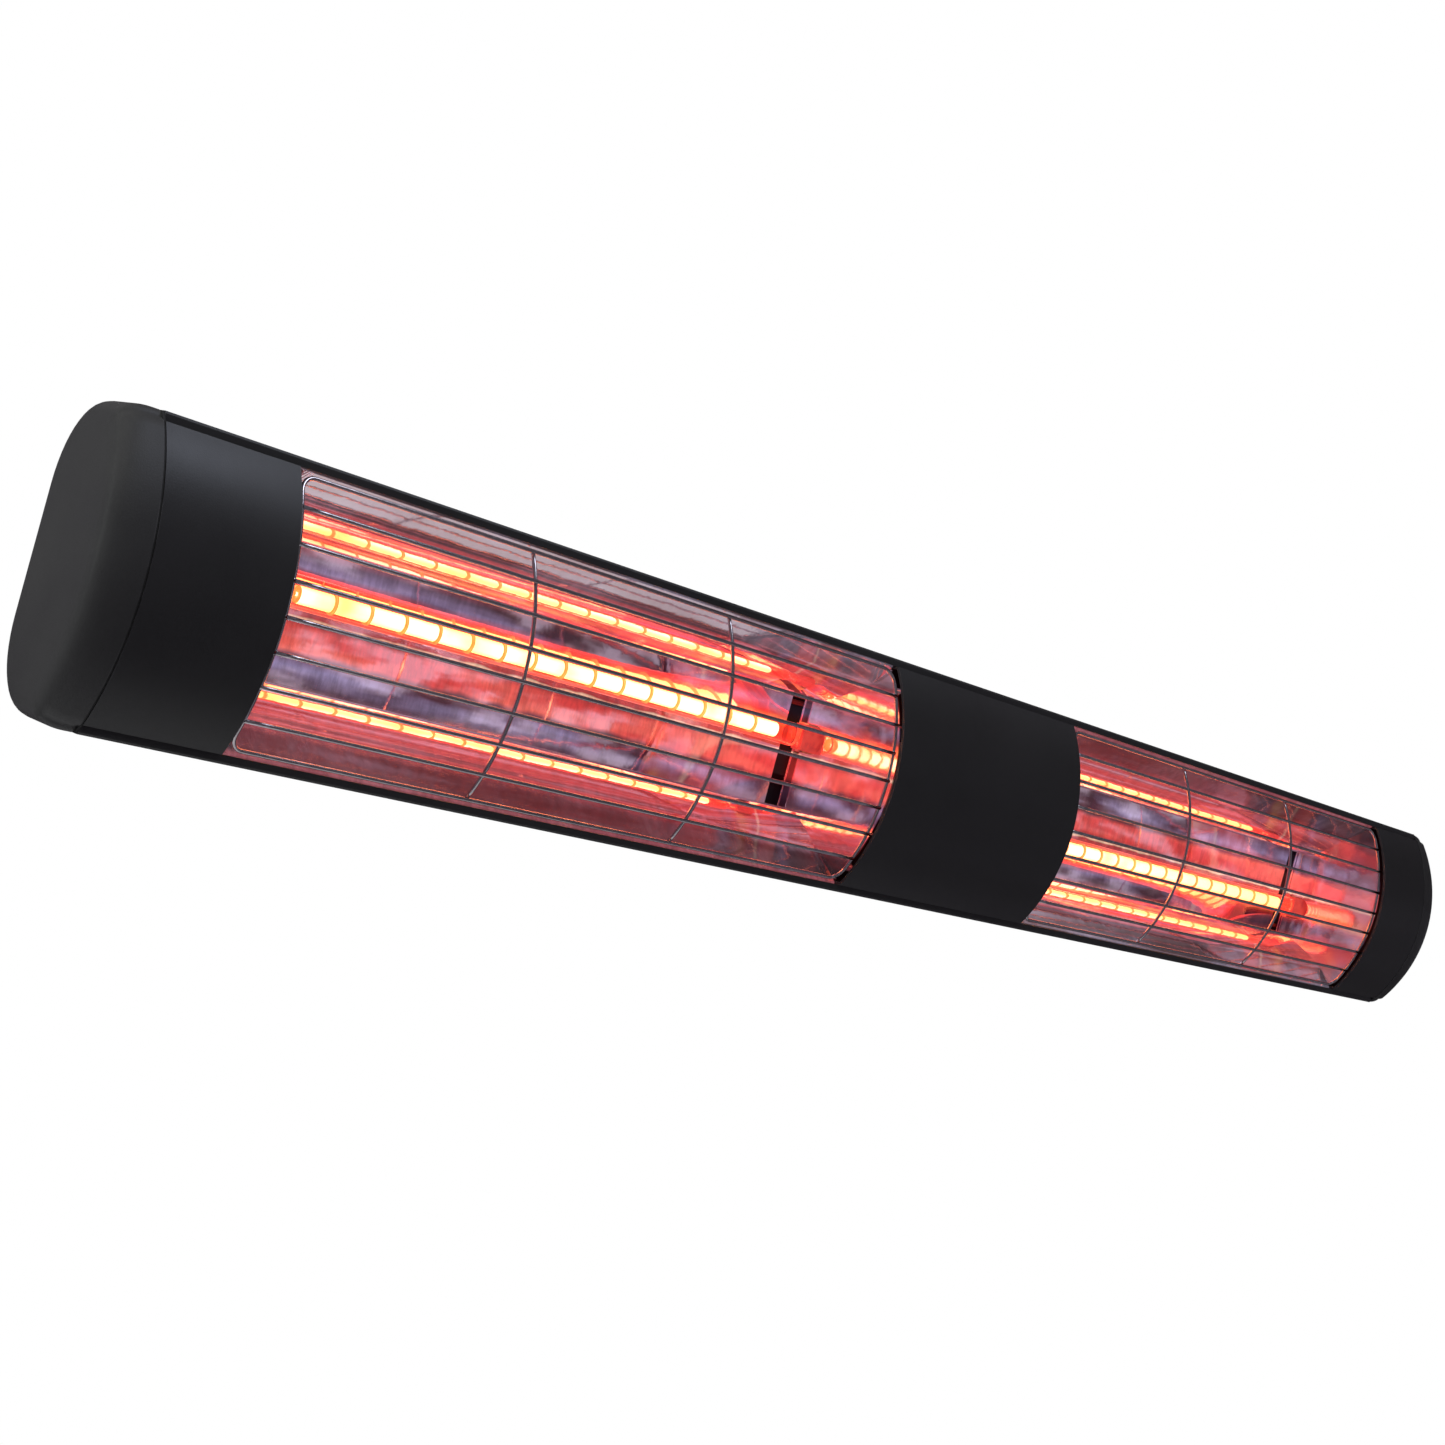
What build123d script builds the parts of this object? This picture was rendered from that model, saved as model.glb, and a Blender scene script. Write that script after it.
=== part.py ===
from build123d import *
import math
import os

# Twin-lamp infrared heater that hangs on a wall by two tilting brackets.
# Millimetres. +X runs along the heater, the glowing front faces -Y and +Z is up.
# The origin lies on the wall plane, in the middle of the four wall holes.
# A "depth" is a distance behind the front edge of the body's rails.

# ---- driving dimensions -------------------------------------------------------
HEATER_LENGTH = 1092.0        # over both end caps
BODY_HALF_HEIGHT = 65.0
BODY_DEPTH = 60.0             # rail front edge to flat back
BACK_RADIUS = 34.0            # rounded back corners of the body
SHELL_WALL = 2.0
FRONT_RADIUS = 105.6          # curved front of covers, guard and caps
FRONT_BULGE = 21.4            # how far that curve stands out ahead of the rails
CAP_LENGTH = 21.0
CAP_ROUNDING = 12.0
GASKET = 1.0
APERTURE_INNER = 81.5         # edge of the centre cover
APERTURE_OUTER = 462.5        # edge of the two outer covers
COVER_WALL = 1.6
SHEET = 0.8                   # polished reflector sheet

LAMP_DEPTH = 40.0
LAMP_RISE = 11.0              # lamps sit off the middle, up on the left, down on the right
TUBE_RADIUS = 6.5
HEATED_HALF = 153.0
FILAMENT_PITCH = 19.125

PIVOT_BEHIND_BODY = 20.0      # pivot axis behind the flat back
WALL_BEHIND_PIVOT = 40.0
BRACKET_SPACING = 600.0
WALL_HOLE_SPACING = 80.0
WALL_HOLE_RADIUS = 3.5
PIVOT_HOLE_RADIUS = 4.05
PIVOT_PIN_RADIUS = 4.0

FRONT_Y = -(BODY_DEPTH + PIVOT_BEHIND_BODY + WALL_BEHIND_PIVOT)
ARC_CENTRE = FRONT_RADIUS - FRONT_BULGE
MODULE_X = -(APERTURE_INNER + APERTURE_OUTER) / 2
APERTURE_HALF = (APERTURE_OUTER - APERTURE_INNER) / 2
SHELL_HALF = HEATER_LENGTH / 2 - CAP_LENGTH - GASKET

os.makedirs("parts", exist_ok=True)


def write(name, shape):
    export_step(shape, os.path.join("parts", name + ".step"))


# ---- shape helpers --------------------------------------------------------------
def spot(depth, height):
    return (FRONT_Y + depth, height)


def arc_depth(radius, height):
    return ARC_CENTRE - math.sqrt(radius ** 2 - height ** 2)


def prism(section, x0, x1):
    """Extrude a section drawn in depth and height from x0 to x1."""
    return extrude(Plane.YZ.offset(x0) * section, amount=x1 - x0)


def polygon(points):
    corners = [spot(*p) for p in points]
    return make_face(Polyline(*corners, close=True))


def block(x0, x1, depth0, depth1, z0, z1):
    centre = ((x0 + x1) / 2, FRONT_Y + (depth0 + depth1) / 2, (z0 + z1) / 2)
    return Pos(*centre) * Box(x1 - x0, depth1 - depth0, z1 - z0)


def rod_x(x0, x1, depth, height, radius):
    return Pos((x0 + x1) / 2, FRONT_Y + depth, height) * Rot(0, 90, 0) * Cylinder(radius, x1 - x0)


def rod_y(x, depth0, depth1, height, radius):
    middle = FRONT_Y + (depth0 + depth1) / 2
    return Pos(x, middle, height) * Rot(90, 0, 0) * Cylinder(radius, depth1 - depth0)


def hex_y(x, depth0, depth1, height, across_flats):
    face = RegularPolygon(across_flats / math.sqrt(3), 6)
    start = Plane(origin=(x, FRONT_Y + depth0, height), z_dir=(0, 1, 0))
    return extrude(start * face, amount=depth1 - depth0)


def hex_x(x0, x1, depth, height, across_flats):
    face = RegularPolygon(across_flats / math.sqrt(3), 6)
    start = Plane(origin=(x0, FRONT_Y + depth, height), z_dir=(1, 0, 0))
    return extrude(start * face, amount=x1 - x0)


def turned_over(shape):
    """The right module is the left one turned half a turn in the plane of the front."""
    return Rot(0, 180, 0) * shape


def outline(inset):
    """Full section of a heater end: curved front, flat top and bottom, rounded back."""
    half = BODY_HALF_HEIGHT - inset
    radius = FRONT_RADIUS - inset
    back = BODY_DEPTH - inset
    corner = BACK_RADIUS - inset
    corner_depth = BODY_DEPTH - BACK_RADIUS
    corner_height = BODY_HALF_HEIGHT - BACK_RADIUS
    lean = corner * math.sqrt(0.5)
    rim = arc_depth(radius, half)
    top = Line(spot(rim, half), spot(corner_depth, half))
    top_corner = ThreePointArc(spot(corner_depth, half),
                               spot(corner_depth + lean, corner_height + lean),
                               spot(back, corner_height))
    rear = Line(spot(back, corner_height), spot(back, -corner_height))
    low_corner = ThreePointArc(spot(back, -corner_height),
                               spot(corner_depth + lean, -corner_height - lean),
                               spot(corner_depth, -half))
    bottom = Line(spot(corner_depth, -half), spot(rim, -half))
    front = ThreePointArc(spot(rim, -half), spot(ARC_CENTRE - radius, 0), spot(rim, half))
    return make_face(Wire([top, top_corner, rear, low_corner, bottom, front]))


# ---- body shell: extruded channel with hooked rails and a rear T-slot --------------
RAIL_LIP = 4.0                # height of the lip that shows at the front
T_SLOT_HALF = 6.9
T_SLOT_MOUTH = 4.3
T_SLOT_FLOOR = 53.0


def shell_section():
    outer = outline(0) - polygon([(-30, -70), (0, -70), (0, 70), (-30, 70)])
    hollow = outline(SHELL_WALL) - polygon([(-30, -70), (-1, -70), (-1, 70), (-30, 70)])
    inner = BODY_HALF_HEIGHT - RAIL_LIP
    section = outer - hollow - polygon([(-1, -inner), (3, -inner), (3, inner), (-1, inner)])
    for side in (1, -1):
        section += polygon([(0, side * inner), (SHELL_WALL, side * inner),
                            (SHELL_WALL, side * 64), (0, side * 64)])
        section += polygon([(5.6, side * inner), (7, side * inner), (7, side * 64), (5.6, side * 64)])
    section += polygon([(T_SLOT_FLOOR - 1.5, -12), (59, -12), (59, 12), (T_SLOT_FLOOR - 1.5, 12)])
    section -= polygon([(T_SLOT_FLOOR, -T_SLOT_HALF), (57.6, -T_SLOT_HALF),
                        (57.6, T_SLOT_HALF), (T_SLOT_FLOOR, T_SLOT_HALF)])
    section -= polygon([(57, -T_SLOT_MOUTH), (61, -T_SLOT_MOUTH), (61, T_SLOT_MOUTH), (57, T_SLOT_MOUTH)])
    return section


CAP_SCREW_X = SHELL_HALF - 9.0
CAP_SCREW_HEIGHT = 23.0

shell = prism(shell_section(), -SHELL_HALF, SHELL_HALF)
for x in (-CAP_SCREW_X, CAP_SCREW_X):
    for z in (-CAP_SCREW_HEIGHT, CAP_SCREW_HEIGHT):
        shell -= rod_y(x, 57, 61, z, 2.2)
write("body_shell", shell)


# ---- end caps with their gaskets and rear screws -------------------------------------
CAP_WALL = 3.0


def end_cap():
    """Cast cap for the left end: rounded outside, hollow, with two screw tongues."""
    x_seam = -(SHELL_HALF + GASKET)
    steps = 8
    slices = []
    straight = CAP_LENGTH - CAP_ROUNDING
    slices.append(Plane.YZ.offset(x_seam) * outline(0))
    for i in range(steps + 1):
        angle = math.radians(90 * i / steps * 0.97)
        out = straight + CAP_ROUNDING * math.sin(angle) / math.sin(math.radians(87.3))
        inset = CAP_ROUNDING * (1 - math.cos(angle))
        slices.append(Plane.YZ.offset(x_seam - out) * outline(inset))
    cap = loft(slices, ruled=True)
    cap -= prism(outline(CAP_WALL), x_seam - straight + 2, x_seam + 1)
    cap -= prism(outline(CAP_ROUNDING + 1), x_seam - CAP_LENGTH + CAP_WALL, x_seam)
    for side in (1, -1):
        z = side * CAP_SCREW_HEIGHT
        tongue = block(x_seam - straight + 1, x_seam + 19, 51, 56.8, z - 6, z + 6)
        tongue -= rod_y(-CAP_SCREW_X, 50, 59, z, 1.7)
        cap += tongue
    return cap


GLAND_DEPTH = 30.0
GLAND_BORE = 8.0

left_cap = end_cap()
right_cap = turned_over(end_cap())
right_cap -= rod_x(530, 560, GLAND_DEPTH, 0, GLAND_BORE + 0.2)
write("end_cap_left", left_cap)
write("end_cap_right", right_cap)

ring = prism(outline(0.4) - outline(CAP_WALL), -SHELL_HALF - GASKET, -SHELL_HALF)
write("cap_gasket_left", ring)
write("cap_gasket_right", turned_over(ring))

screws = []
for x in (-CAP_SCREW_X, CAP_SCREW_X):
    for z in (-CAP_SCREW_HEIGHT, CAP_SCREW_HEIGHT):
        screw = rod_y(x, 53, 60.1, z, 1.7) + rod_y(x, 60, 62.2, z, 3.6)
        screws.append(screw - rod_y(x, 61.2, 63, z, 1.1))
write("cap_screws", Compound(screws))


# ---- curved front covers, hooked behind the rails ------------------------------------
def cover(x0, x1):
    edge = 60.9
    inner = FRONT_RADIUS - COVER_WALL
    skin_out = ThreePointArc(spot(-2, -edge), spot(-FRONT_BULGE, 0), spot(-2, edge))
    low = Line(spot(-2, edge), spot(-0.3, edge))
    skin_in = ThreePointArc(spot(-0.3, edge), spot(ARC_CENTRE - inner, 0), spot(-0.3, -edge))
    up = Line(spot(-0.3, -edge), spot(-2, -edge))
    section = make_face(Wire([skin_out, low, skin_in, up]))
    for side in (1, -1):
        leg = [(-1.6, edge), (2.4, edge), (2.4, edge + 1.8), (3.8, edge + 1.8), (3.8, edge - 1.5), (-1.6, edge - 1.5)]
        section += polygon([(d, side * z) for d, z in leg])
    return prism(section, x0, x1)


write("cover_left", cover(-SHELL_HALF, -APERTURE_OUTER))
write("cover_centre", cover(-APERTURE_INNER, APERTURE_INNER))
write("cover_right", cover(APERTURE_OUTER, SHELL_HALF))


# ---- polished trough behind each lamp, left module ------------------------------------
FLOOR_DEPTH = 49.5
TROUGH = [(2.4, 60.2), (11, 50.2), (38, 34), (FLOOR_DEPTH, 33),
          (FLOOR_DEPTH, -30), (38, -30), (20.5, -45), (2.4, -60.2)]
TROUGH_HALF = 214.0
FLANGE_HEIGHT = 61.4          # middle of the thin lip tucked under each rail
SLOT_NEAR = 170.0             # relief slot across the floor, at the foot of each end mirror
SLOT_FAR = 180.8
HOLDER_SCREW_X = 207.0
HOLDER_SCREW_HEIGHT = 7.0


def thick_line(points, wall):
    """A folded sheet: the polygon between the front line and its mitred copy set back by wall."""
    normals = []
    for (d0, z0), (d1, z1) in zip(points, points[1:]):
        size = math.hypot(d1 - d0, z1 - z0)
        normals.append(((z0 - z1) / size, (d1 - d0) / size))
    rear = []
    for i, (d, z) in enumerate(points):
        before = normals[max(i - 1, 0)]
        after = normals[min(i, len(normals) - 1)]
        reach = wall / (1 + before[0] * after[0] + before[1] * after[1])
        rear.append((d + (before[0] + after[0]) * reach, z + (before[1] + after[1]) * reach))
    return points + rear[::-1]


def reflector():
    sheet = prism(polygon(thick_line(TROUGH, SHEET)), MODULE_X - TROUGH_HALF, MODULE_X + TROUGH_HALF)
    for side in (1, -1):
        lip = block(-APERTURE_HALF, APERTURE_HALF, 2.4, 2.4 + SHEET, -1.3, 1.3)
        sheet += Pos(MODULE_X, 0, side * FLANGE_HEIGHT) * lip
    for side in (1, -1):
        hidden = sorted((side * APERTURE_HALF, side * (TROUGH_HALF + 1)))
        sheet -= Pos(MODULE_X, 0, 0) * block(*hidden, -5, 12, -62.9, 62.9)
        slot = sorted((side * SLOT_NEAR, side * SLOT_FAR))
        sheet -= Pos(MODULE_X, 0, 0) * block(*slot, FLOOR_DEPTH - 3, FLOOR_DEPTH + 3, -29.2, 32.2)
        sheet -= rod_y(MODULE_X + side * HOLDER_SCREW_X, 48, 52, HOLDER_SCREW_HEIGHT, 2.2)
    return sheet


write("reflector_left", reflector())
write("reflector_right", turned_over(reflector()))


# ---- leaning end mirrors, notched so that they slip over the lamp ------------------------
MIRROR_FOOT = 181.2           # distance from the module's middle at the trough floor
MIRROR_SLOPE = 0.2            # it leans outwards towards the front
MIRROR_FRONT_RADIUS = 99.8
MIRROR_TOP = 58.6
LAMP_NOTCH = 8.3


def mirror_offset(depth):
    return MIRROR_FOOT + (FLOOR_DEPTH - depth) * MIRROR_SLOPE


def end_mirror(side):
    """side -1 is the end nearer the cap, +1 the end nearer the centre cover."""
    inside = [(d - 0.15, z * 0.995) for d, z in TROUGH]
    edge = 57.5
    rim = arc_depth(MIRROR_FRONT_RADIUS, edge)
    nose = ARC_CENTRE - MIRROR_FRONT_RADIUS
    bow = ThreePointArc(spot(rim, -edge), spot(nose, 0), spot(rim, edge))
    sides = Polyline(spot(rim, edge), *[spot(*p) for p in inside], spot(rim, -edge))
    room = prism(make_face(Wire([bow, *sides.edges()])), MODULE_X - TROUGH_HALF, MODULE_X + TROUGH_HALF)
    plan = [(nose - 5, 0), (nose - 5, SHEET), (FLOOR_DEPTH, SHEET), (FLOOR_DEPTH, 0)]
    corners = [(MODULE_X + side * (mirror_offset(d) + wall), FRONT_Y + d) for d, wall in plan]
    slab = extrude(Plane.XY.offset(-MIRROR_TOP) * make_face(Polyline(*corners, close=True)),
                   amount=2 * MIRROR_TOP)
    plate = slab & room
    x0, x1 = sorted((MODULE_X + side * SLOT_FAR, MODULE_X + side * TROUGH_HALF))
    plate -= rod_x(x0, x1, LAMP_DEPTH, LAMP_RISE, LAMP_NOTCH)
    return plate - block(x0, x1, LAMP_DEPTH, 60, LAMP_RISE - LAMP_NOTCH, LAMP_RISE + LAMP_NOTCH)


write("end_mirror_left_outer", end_mirror(-1))
write("end_mirror_left_inner", end_mirror(1))
write("end_mirror_right_outer", turned_over(end_mirror(-1)))
write("end_mirror_right_inner", turned_over(end_mirror(1)))


# ---- quartz lamp: tube, coiled filament, support rings, ceramic bases -------------------
TUBE_HALF = 166.5


def lamp_tube():
    x0, x1 = MODULE_X - TUBE_HALF, MODULE_X + TUBE_HALF
    tube = rod_x(x0, x1, LAMP_DEPTH, LAMP_RISE, TUBE_RADIUS)
    tube -= rod_x(x0 + 2.5, x1 - 2.5, LAMP_DEPTH, LAMP_RISE, TUBE_RADIUS - 1.1)
    for side in (1, -1):
        x = MODULE_X + side * (TUBE_HALF + 2.5)
        tube += block(x - 3.5, x + 3.5, LAMP_DEPTH - 1.8, LAMP_DEPTH + 1.8, LAMP_RISE - 5.5, LAMP_RISE + 5.5)
    return tube


def filament():
    wire = rod_x(MODULE_X - HEATED_HALF, MODULE_X + HEATED_HALF, LAMP_DEPTH, LAMP_RISE, 0.8)
    turns = int(round(2 * HEATED_HALF / FILAMENT_PITCH))
    for i in range(turns):
        start = MODULE_X - HEATED_HALF + i * FILAMENT_PITCH + 0.9
        end = start + FILAMENT_PITCH - 1.8
        wire += rod_x(start, end, LAMP_DEPTH, LAMP_RISE, 4.0)
    return wire


def filament_rings():
    rings = []
    turns = int(round(2 * HEATED_HALF / FILAMENT_PITCH))
    for i in range(1, turns):
        x = MODULE_X - HEATED_HALF + i * FILAMENT_PITCH
        ring = rod_x(x - 0.3, x + 0.3, LAMP_DEPTH, LAMP_RISE, TUBE_RADIUS - 1.3)
        rings.append(ring - rod_x(x - 1, x + 1, LAMP_DEPTH, LAMP_RISE, 1.1))
    return Compound(rings)


BASE_START = 172.6
BASE_END = 195.5


def lamp_bases():
    bases = []
    for side in (1, -1):
        x0, x1 = sorted((MODULE_X + side * BASE_START, MODULE_X + side * BASE_END))
        bases.append(block(x0, x1, LAMP_DEPTH - 3.6, LAMP_DEPTH + 3.6, LAMP_RISE - 7.2, LAMP_RISE + 7.2))
    return Compound(bases)


def lamp_leads():
    """Two insulated wires: a short one to the terminal block, a long one behind the trough."""
    d, z = LAMP_DEPTH, LAMP_RISE
    end = MODULE_X + BASE_END
    start = MODULE_X - BASE_END
    short = [(end, d, z), (end + 14, d, z), (end + 34, 41, 7), (-22, 41, 7)]
    long = [(start, d, z), (start - 18, d, z), (start - 30, 45, 20), (start - 22, 53, 27),
            (start + 20, 53, 28), (-86, 53, 29), (-56, 53, 30), (-47, 47, 27), (-43, 47, 10),
            (-38, 45, -5), (-31, 41, -7), (-22, 41, -7)]
    wires = []
    for route in (short, long):
        points = [(x, FRONT_Y + depth, height) for x, depth, height in route]
        radii = []
        for a, b, c in zip(points, points[1:], points[2:]):
            run_in = Vector(*b) - Vector(*a)
            run_out = Vector(*c) - Vector(*b)
            turn = math.radians(run_in.get_angle(run_out))
            radii.append(0.45 * min(run_in.length, run_out.length) / math.tan(turn / 2))
        path = FilletPolyline(*points, radius=radii)
        mouth = Plane(origin=path @ 0, z_dir=path % 0)
        wires.append(sweep(mouth * Circle(1.4), path=path))
    return Compound(wires)


for name, make in (("lamp_tube", lamp_tube), ("filament", filament), ("filament_rings", filament_rings),
                   ("lamp_bases", lamp_bases), ("lamp_leads", lamp_leads)):
    write(name + "_left", make())
    write(name + "_right", turned_over(make()))


# ---- ceramic lamp holders on steel feet, screwed to the T-slot wall ----------------------
HOLDER_START = 186.5
HOLDER_END = 200.0


def lamp_holder(side):
    x0, x1 = sorted((MODULE_X + side * HOLDER_START, MODULE_X + side * HOLDER_END))
    body = block(x0, x1, 33.5, 48.2, LAMP_RISE - 10.5, LAMP_RISE + 9)
    channel = block(x0 - 1, x1 + 1, 30, LAMP_DEPTH + 3.8, LAMP_RISE - 7.4, LAMP_RISE + 7.4)
    return body - channel


def holder_foot(side):
    x0, x1 = sorted((MODULE_X + side * (HOLDER_START - 1.5), MODULE_X + side * (HOLDER_SCREW_X + 5)))
    foot = block(x0, x1, 48.3, 49.4, 0.5, 14.5)
    ear_x0, ear_x1 = sorted((MODULE_X + side * (HOLDER_END + 0.2), MODULE_X + side * (HOLDER_END + 1.2)))
    foot += block(ear_x0, ear_x1, 44.2, 49.4, 0.5, 14.0)
    return foot - rod_y(MODULE_X + side * HOLDER_SCREW_X, 47, 51, HOLDER_SCREW_HEIGHT, 2.1)


for side, end in ((-1, "outer"), (1, "inner")):
    write("lamp_holder_left_" + end, lamp_holder(side))
    write("lamp_holder_right_" + end, turned_over(lamp_holder(side)))
    write("holder_foot_left_" + end, holder_foot(side))
    write("holder_foot_right_" + end, turned_over(holder_foot(side)))

screws = []
for side in (1, -1):
    x = MODULE_X + side * HOLDER_SCREW_X
    screw = rod_y(x, 46.2, 48.3, HOLDER_SCREW_HEIGHT, 3.8)
    screw += rod_y(x, 48.2, 51.5, HOLDER_SCREW_HEIGHT, 2.0)
    screw -= rod_y(x, 45, 47.2, HOLDER_SCREW_HEIGHT, 1.1)
    screws += [screw, turned_over(screw)]
write("holder_screws", Compound(screws))


# ---- chrome wire guards, one in front of each module --------------------------------------
WIRE_RADIUS = 1.0
GUARD_RADIUS = 102.6          # wire centres ride on the front curve, under the covers
GUARD_HEIGHTS = [-58.0, -45.0, -30.0, -15.0, 0.0, 15.0, 30.0, 45.0, 58.0]
HOOK_HEIGHT = 30.0


def guard():
    reach = APERTURE_HALF - 2.2
    wires = None
    for z in GUARD_HEIGHTS:
        half = reach + 7 if abs(z) == HOOK_HEIGHT else reach
        wire = rod_x(MODULE_X - half, MODULE_X + half, arc_depth(GUARD_RADIUS, z), z, WIRE_RADIUS)
        wires = wire if wires is None else wires + wire
    radius = GUARD_RADIUS - 1.5
    top = GUARD_HEIGHTS[-1] + 0.6
    for offset in (-reach, -APERTURE_HALF / 3, APERTURE_HALF / 3, reach):
        x = MODULE_X + offset
        ends = [(x, FRONT_Y + arc_depth(radius, z), z) for z in (-top, 0, top)]
        path = ThreePointArc(*ends)
        wires += sweep(Plane(origin=path @ 0, z_dir=path % 0) * Circle(WIRE_RADIUS), path=path)
    return wires


write("guard_left", guard())
write("guard_right", turned_over(guard()))


# ---- wiring: mounting plate, ceramic terminal block, earth stud ------------------------------
PLATE_HALF = 55.0
PLATE_SCREW_X = 48.0

plate = block(-PLATE_HALF, PLATE_HALF, 49.8, 51.3, -24, 24)
for x in (-PLATE_SCREW_X, PLATE_SCREW_X):
    plate -= rod_y(x, 49, 52, 0, 2.1)
write("wiring_plate", plate)

screws = []
for x in (-PLATE_SCREW_X, PLATE_SCREW_X):
    screw = rod_y(x, 47.7, 49.8, 0, 3.8) + rod_y(x, 49.7, 51.5, 0, 2.0)
    screws.append(screw - rod_y(x, 46, 48.7, 0, 1.1))
write("plate_screws", Compound(screws))

TERMINAL_HEIGHTS = (-7.0, 7.0)
TERMINAL_DEPTH = 41.0
TERMINAL_SCREW_X = 16.0
block_body = block(-27, 27, 33, 49.7, -15, 15)
inserts = []
terminal_screws = []
for z in TERMINAL_HEIGHTS:
    block_body -= rod_x(-28, 28, TERMINAL_DEPTH, z, 3.6)
    tube = rod_x(-24, 24, TERMINAL_DEPTH, z, 3.5) - rod_x(-30, 30, TERMINAL_DEPTH, z, 1.9)
    for x in (-TERMINAL_SCREW_X, TERMINAL_SCREW_X):
        block_body -= rod_y(x, 30, TERMINAL_DEPTH, z, 3.2)
        tube -= rod_y(x, 30, TERMINAL_DEPTH, z, 1.6)
        screw = rod_y(x, 35.4, 39.4, z, 1.6) + rod_y(x, 34.2, 35.6, z, 2.9)
        terminal_screws.append(screw)
    inserts.append(tube)
write("terminal_block", block_body)
write("terminal_sleeves", Compound(inserts))
write("terminal_screws", Compound(terminal_screws))

EARTH_X = 42.0
EARTH_HEIGHT = 14.0
earth_nut = hex_y(EARTH_X, 44.5, 48.5, EARTH_HEIGHT, 8.0) - rod_y(EARTH_X, 43, 50, EARTH_HEIGHT, 2.5)
earth_washer = rod_y(EARTH_X, 48.5, 49.8, EARTH_HEIGHT, 5.0) - rod_y(EARTH_X, 47, 51, EARTH_HEIGHT, 2.6)
write("earth_stud", rod_y(EARTH_X, 36, 49.8, EARTH_HEIGHT, 2.5))
write("earth_nut", earth_nut)
write("earth_washer", earth_washer)


# ---- cable inlet on the right cap: a bare gland -----------------------------------------------
END_X = HEATER_LENGTH / 2
body = rod_x(END_X - 10, END_X + 0.2, GLAND_DEPTH, 0, GLAND_BORE)
body += hex_x(END_X, END_X + 5, GLAND_DEPTH, 0, 20.0)
body += rod_x(END_X + 5, END_X + 12, GLAND_DEPTH, 0, 7.6)
write("gland_body", body - rod_x(END_X - 12, END_X + 14, GLAND_DEPTH, 0, 4.6))
nut = hex_x(END_X + 5.1, END_X + 14, GLAND_DEPTH, 0, 19.0)
nut += Pos(END_X + 16.5, FRONT_Y + GLAND_DEPTH, 0) * Rot(0, 90, 0) * Cone(8.6, 6.4, 5)
nut -= rod_x(END_X + 5, END_X + 12.2, GLAND_DEPTH, 0, 7.65)
write("gland_dome_nut", nut - rod_x(END_X, END_X + 20, GLAND_DEPTH, 0, 4.2))
locknut = hex_x(END_X - 9.5, END_X - 5.05, GLAND_DEPTH, 0, 21.0)
write("gland_locknut", locknut - rod_x(END_X - 12, END_X, GLAND_DEPTH, 0, GLAND_BORE + 0.02))


# ---- tilting mount: lug on the body, forked bracket on the wall ----------------------------------
PIVOT_DEPTH = BODY_DEPTH + PIVOT_BEHIND_BODY
WALL_DEPTH = PIVOT_DEPTH + WALL_BEHIND_PIVOT
LUG_HALF = 4.0                # half thickness of the lug's ear
EAR_GAP = 5.0                 # bracket ears stand this far each side of the middle
EAR_WALL = 4.0
BOLT_OFFSET = 21.5
BOLT_TIP = 10.5               # the T-bolt's end, behind the flat back


def swivel_lug(x):
    lug = block(x - 30, x + 30, BODY_DEPTH, BODY_DEPTH + 4, -18, 18)
    ear = block(x - LUG_HALF, x + LUG_HALF, BODY_DEPTH + 3, PIVOT_DEPTH, -11, 11)
    lug += ear + rod_x(x - LUG_HALF, x + LUG_HALF, PIVOT_DEPTH, 0, 11)
    lug -= rod_x(x - 10, x + 10, PIVOT_DEPTH, 0, PIVOT_HOLE_RADIUS)
    for side in (1, -1):
        lug -= rod_y(x + side * BOLT_OFFSET, BODY_DEPTH - 1, BODY_DEPTH + 5, 0, 3.2)
    return lug


def wall_bracket(x):
    bracket = block(x - 26, x + 26, WALL_DEPTH - 4, WALL_DEPTH, -52, 52)
    bracket = fillet(bracket.edges().filter_by(Axis.Y), 6)
    for side in (1, -1):
        x0, x1 = sorted((x + side * EAR_GAP, x + side * (EAR_GAP + EAR_WALL)))
        web = [(PIVOT_DEPTH, 11), (WALL_DEPTH - 3, 26), (WALL_DEPTH - 3, -26), (PIVOT_DEPTH, -11)]
        bracket += prism(polygon(web), x0, x1) + rod_x(x0, x1, PIVOT_DEPTH, 0, 11)
    bracket -= rod_x(x - 20, x + 20, PIVOT_DEPTH, 0, PIVOT_HOLE_RADIUS)
    for z in (-WALL_HOLE_SPACING / 2, WALL_HOLE_SPACING / 2):
        bracket -= rod_y(x, WALL_DEPTH - 6, WALL_DEPTH + 2, z, WALL_HOLE_RADIUS)
    return bracket


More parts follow.
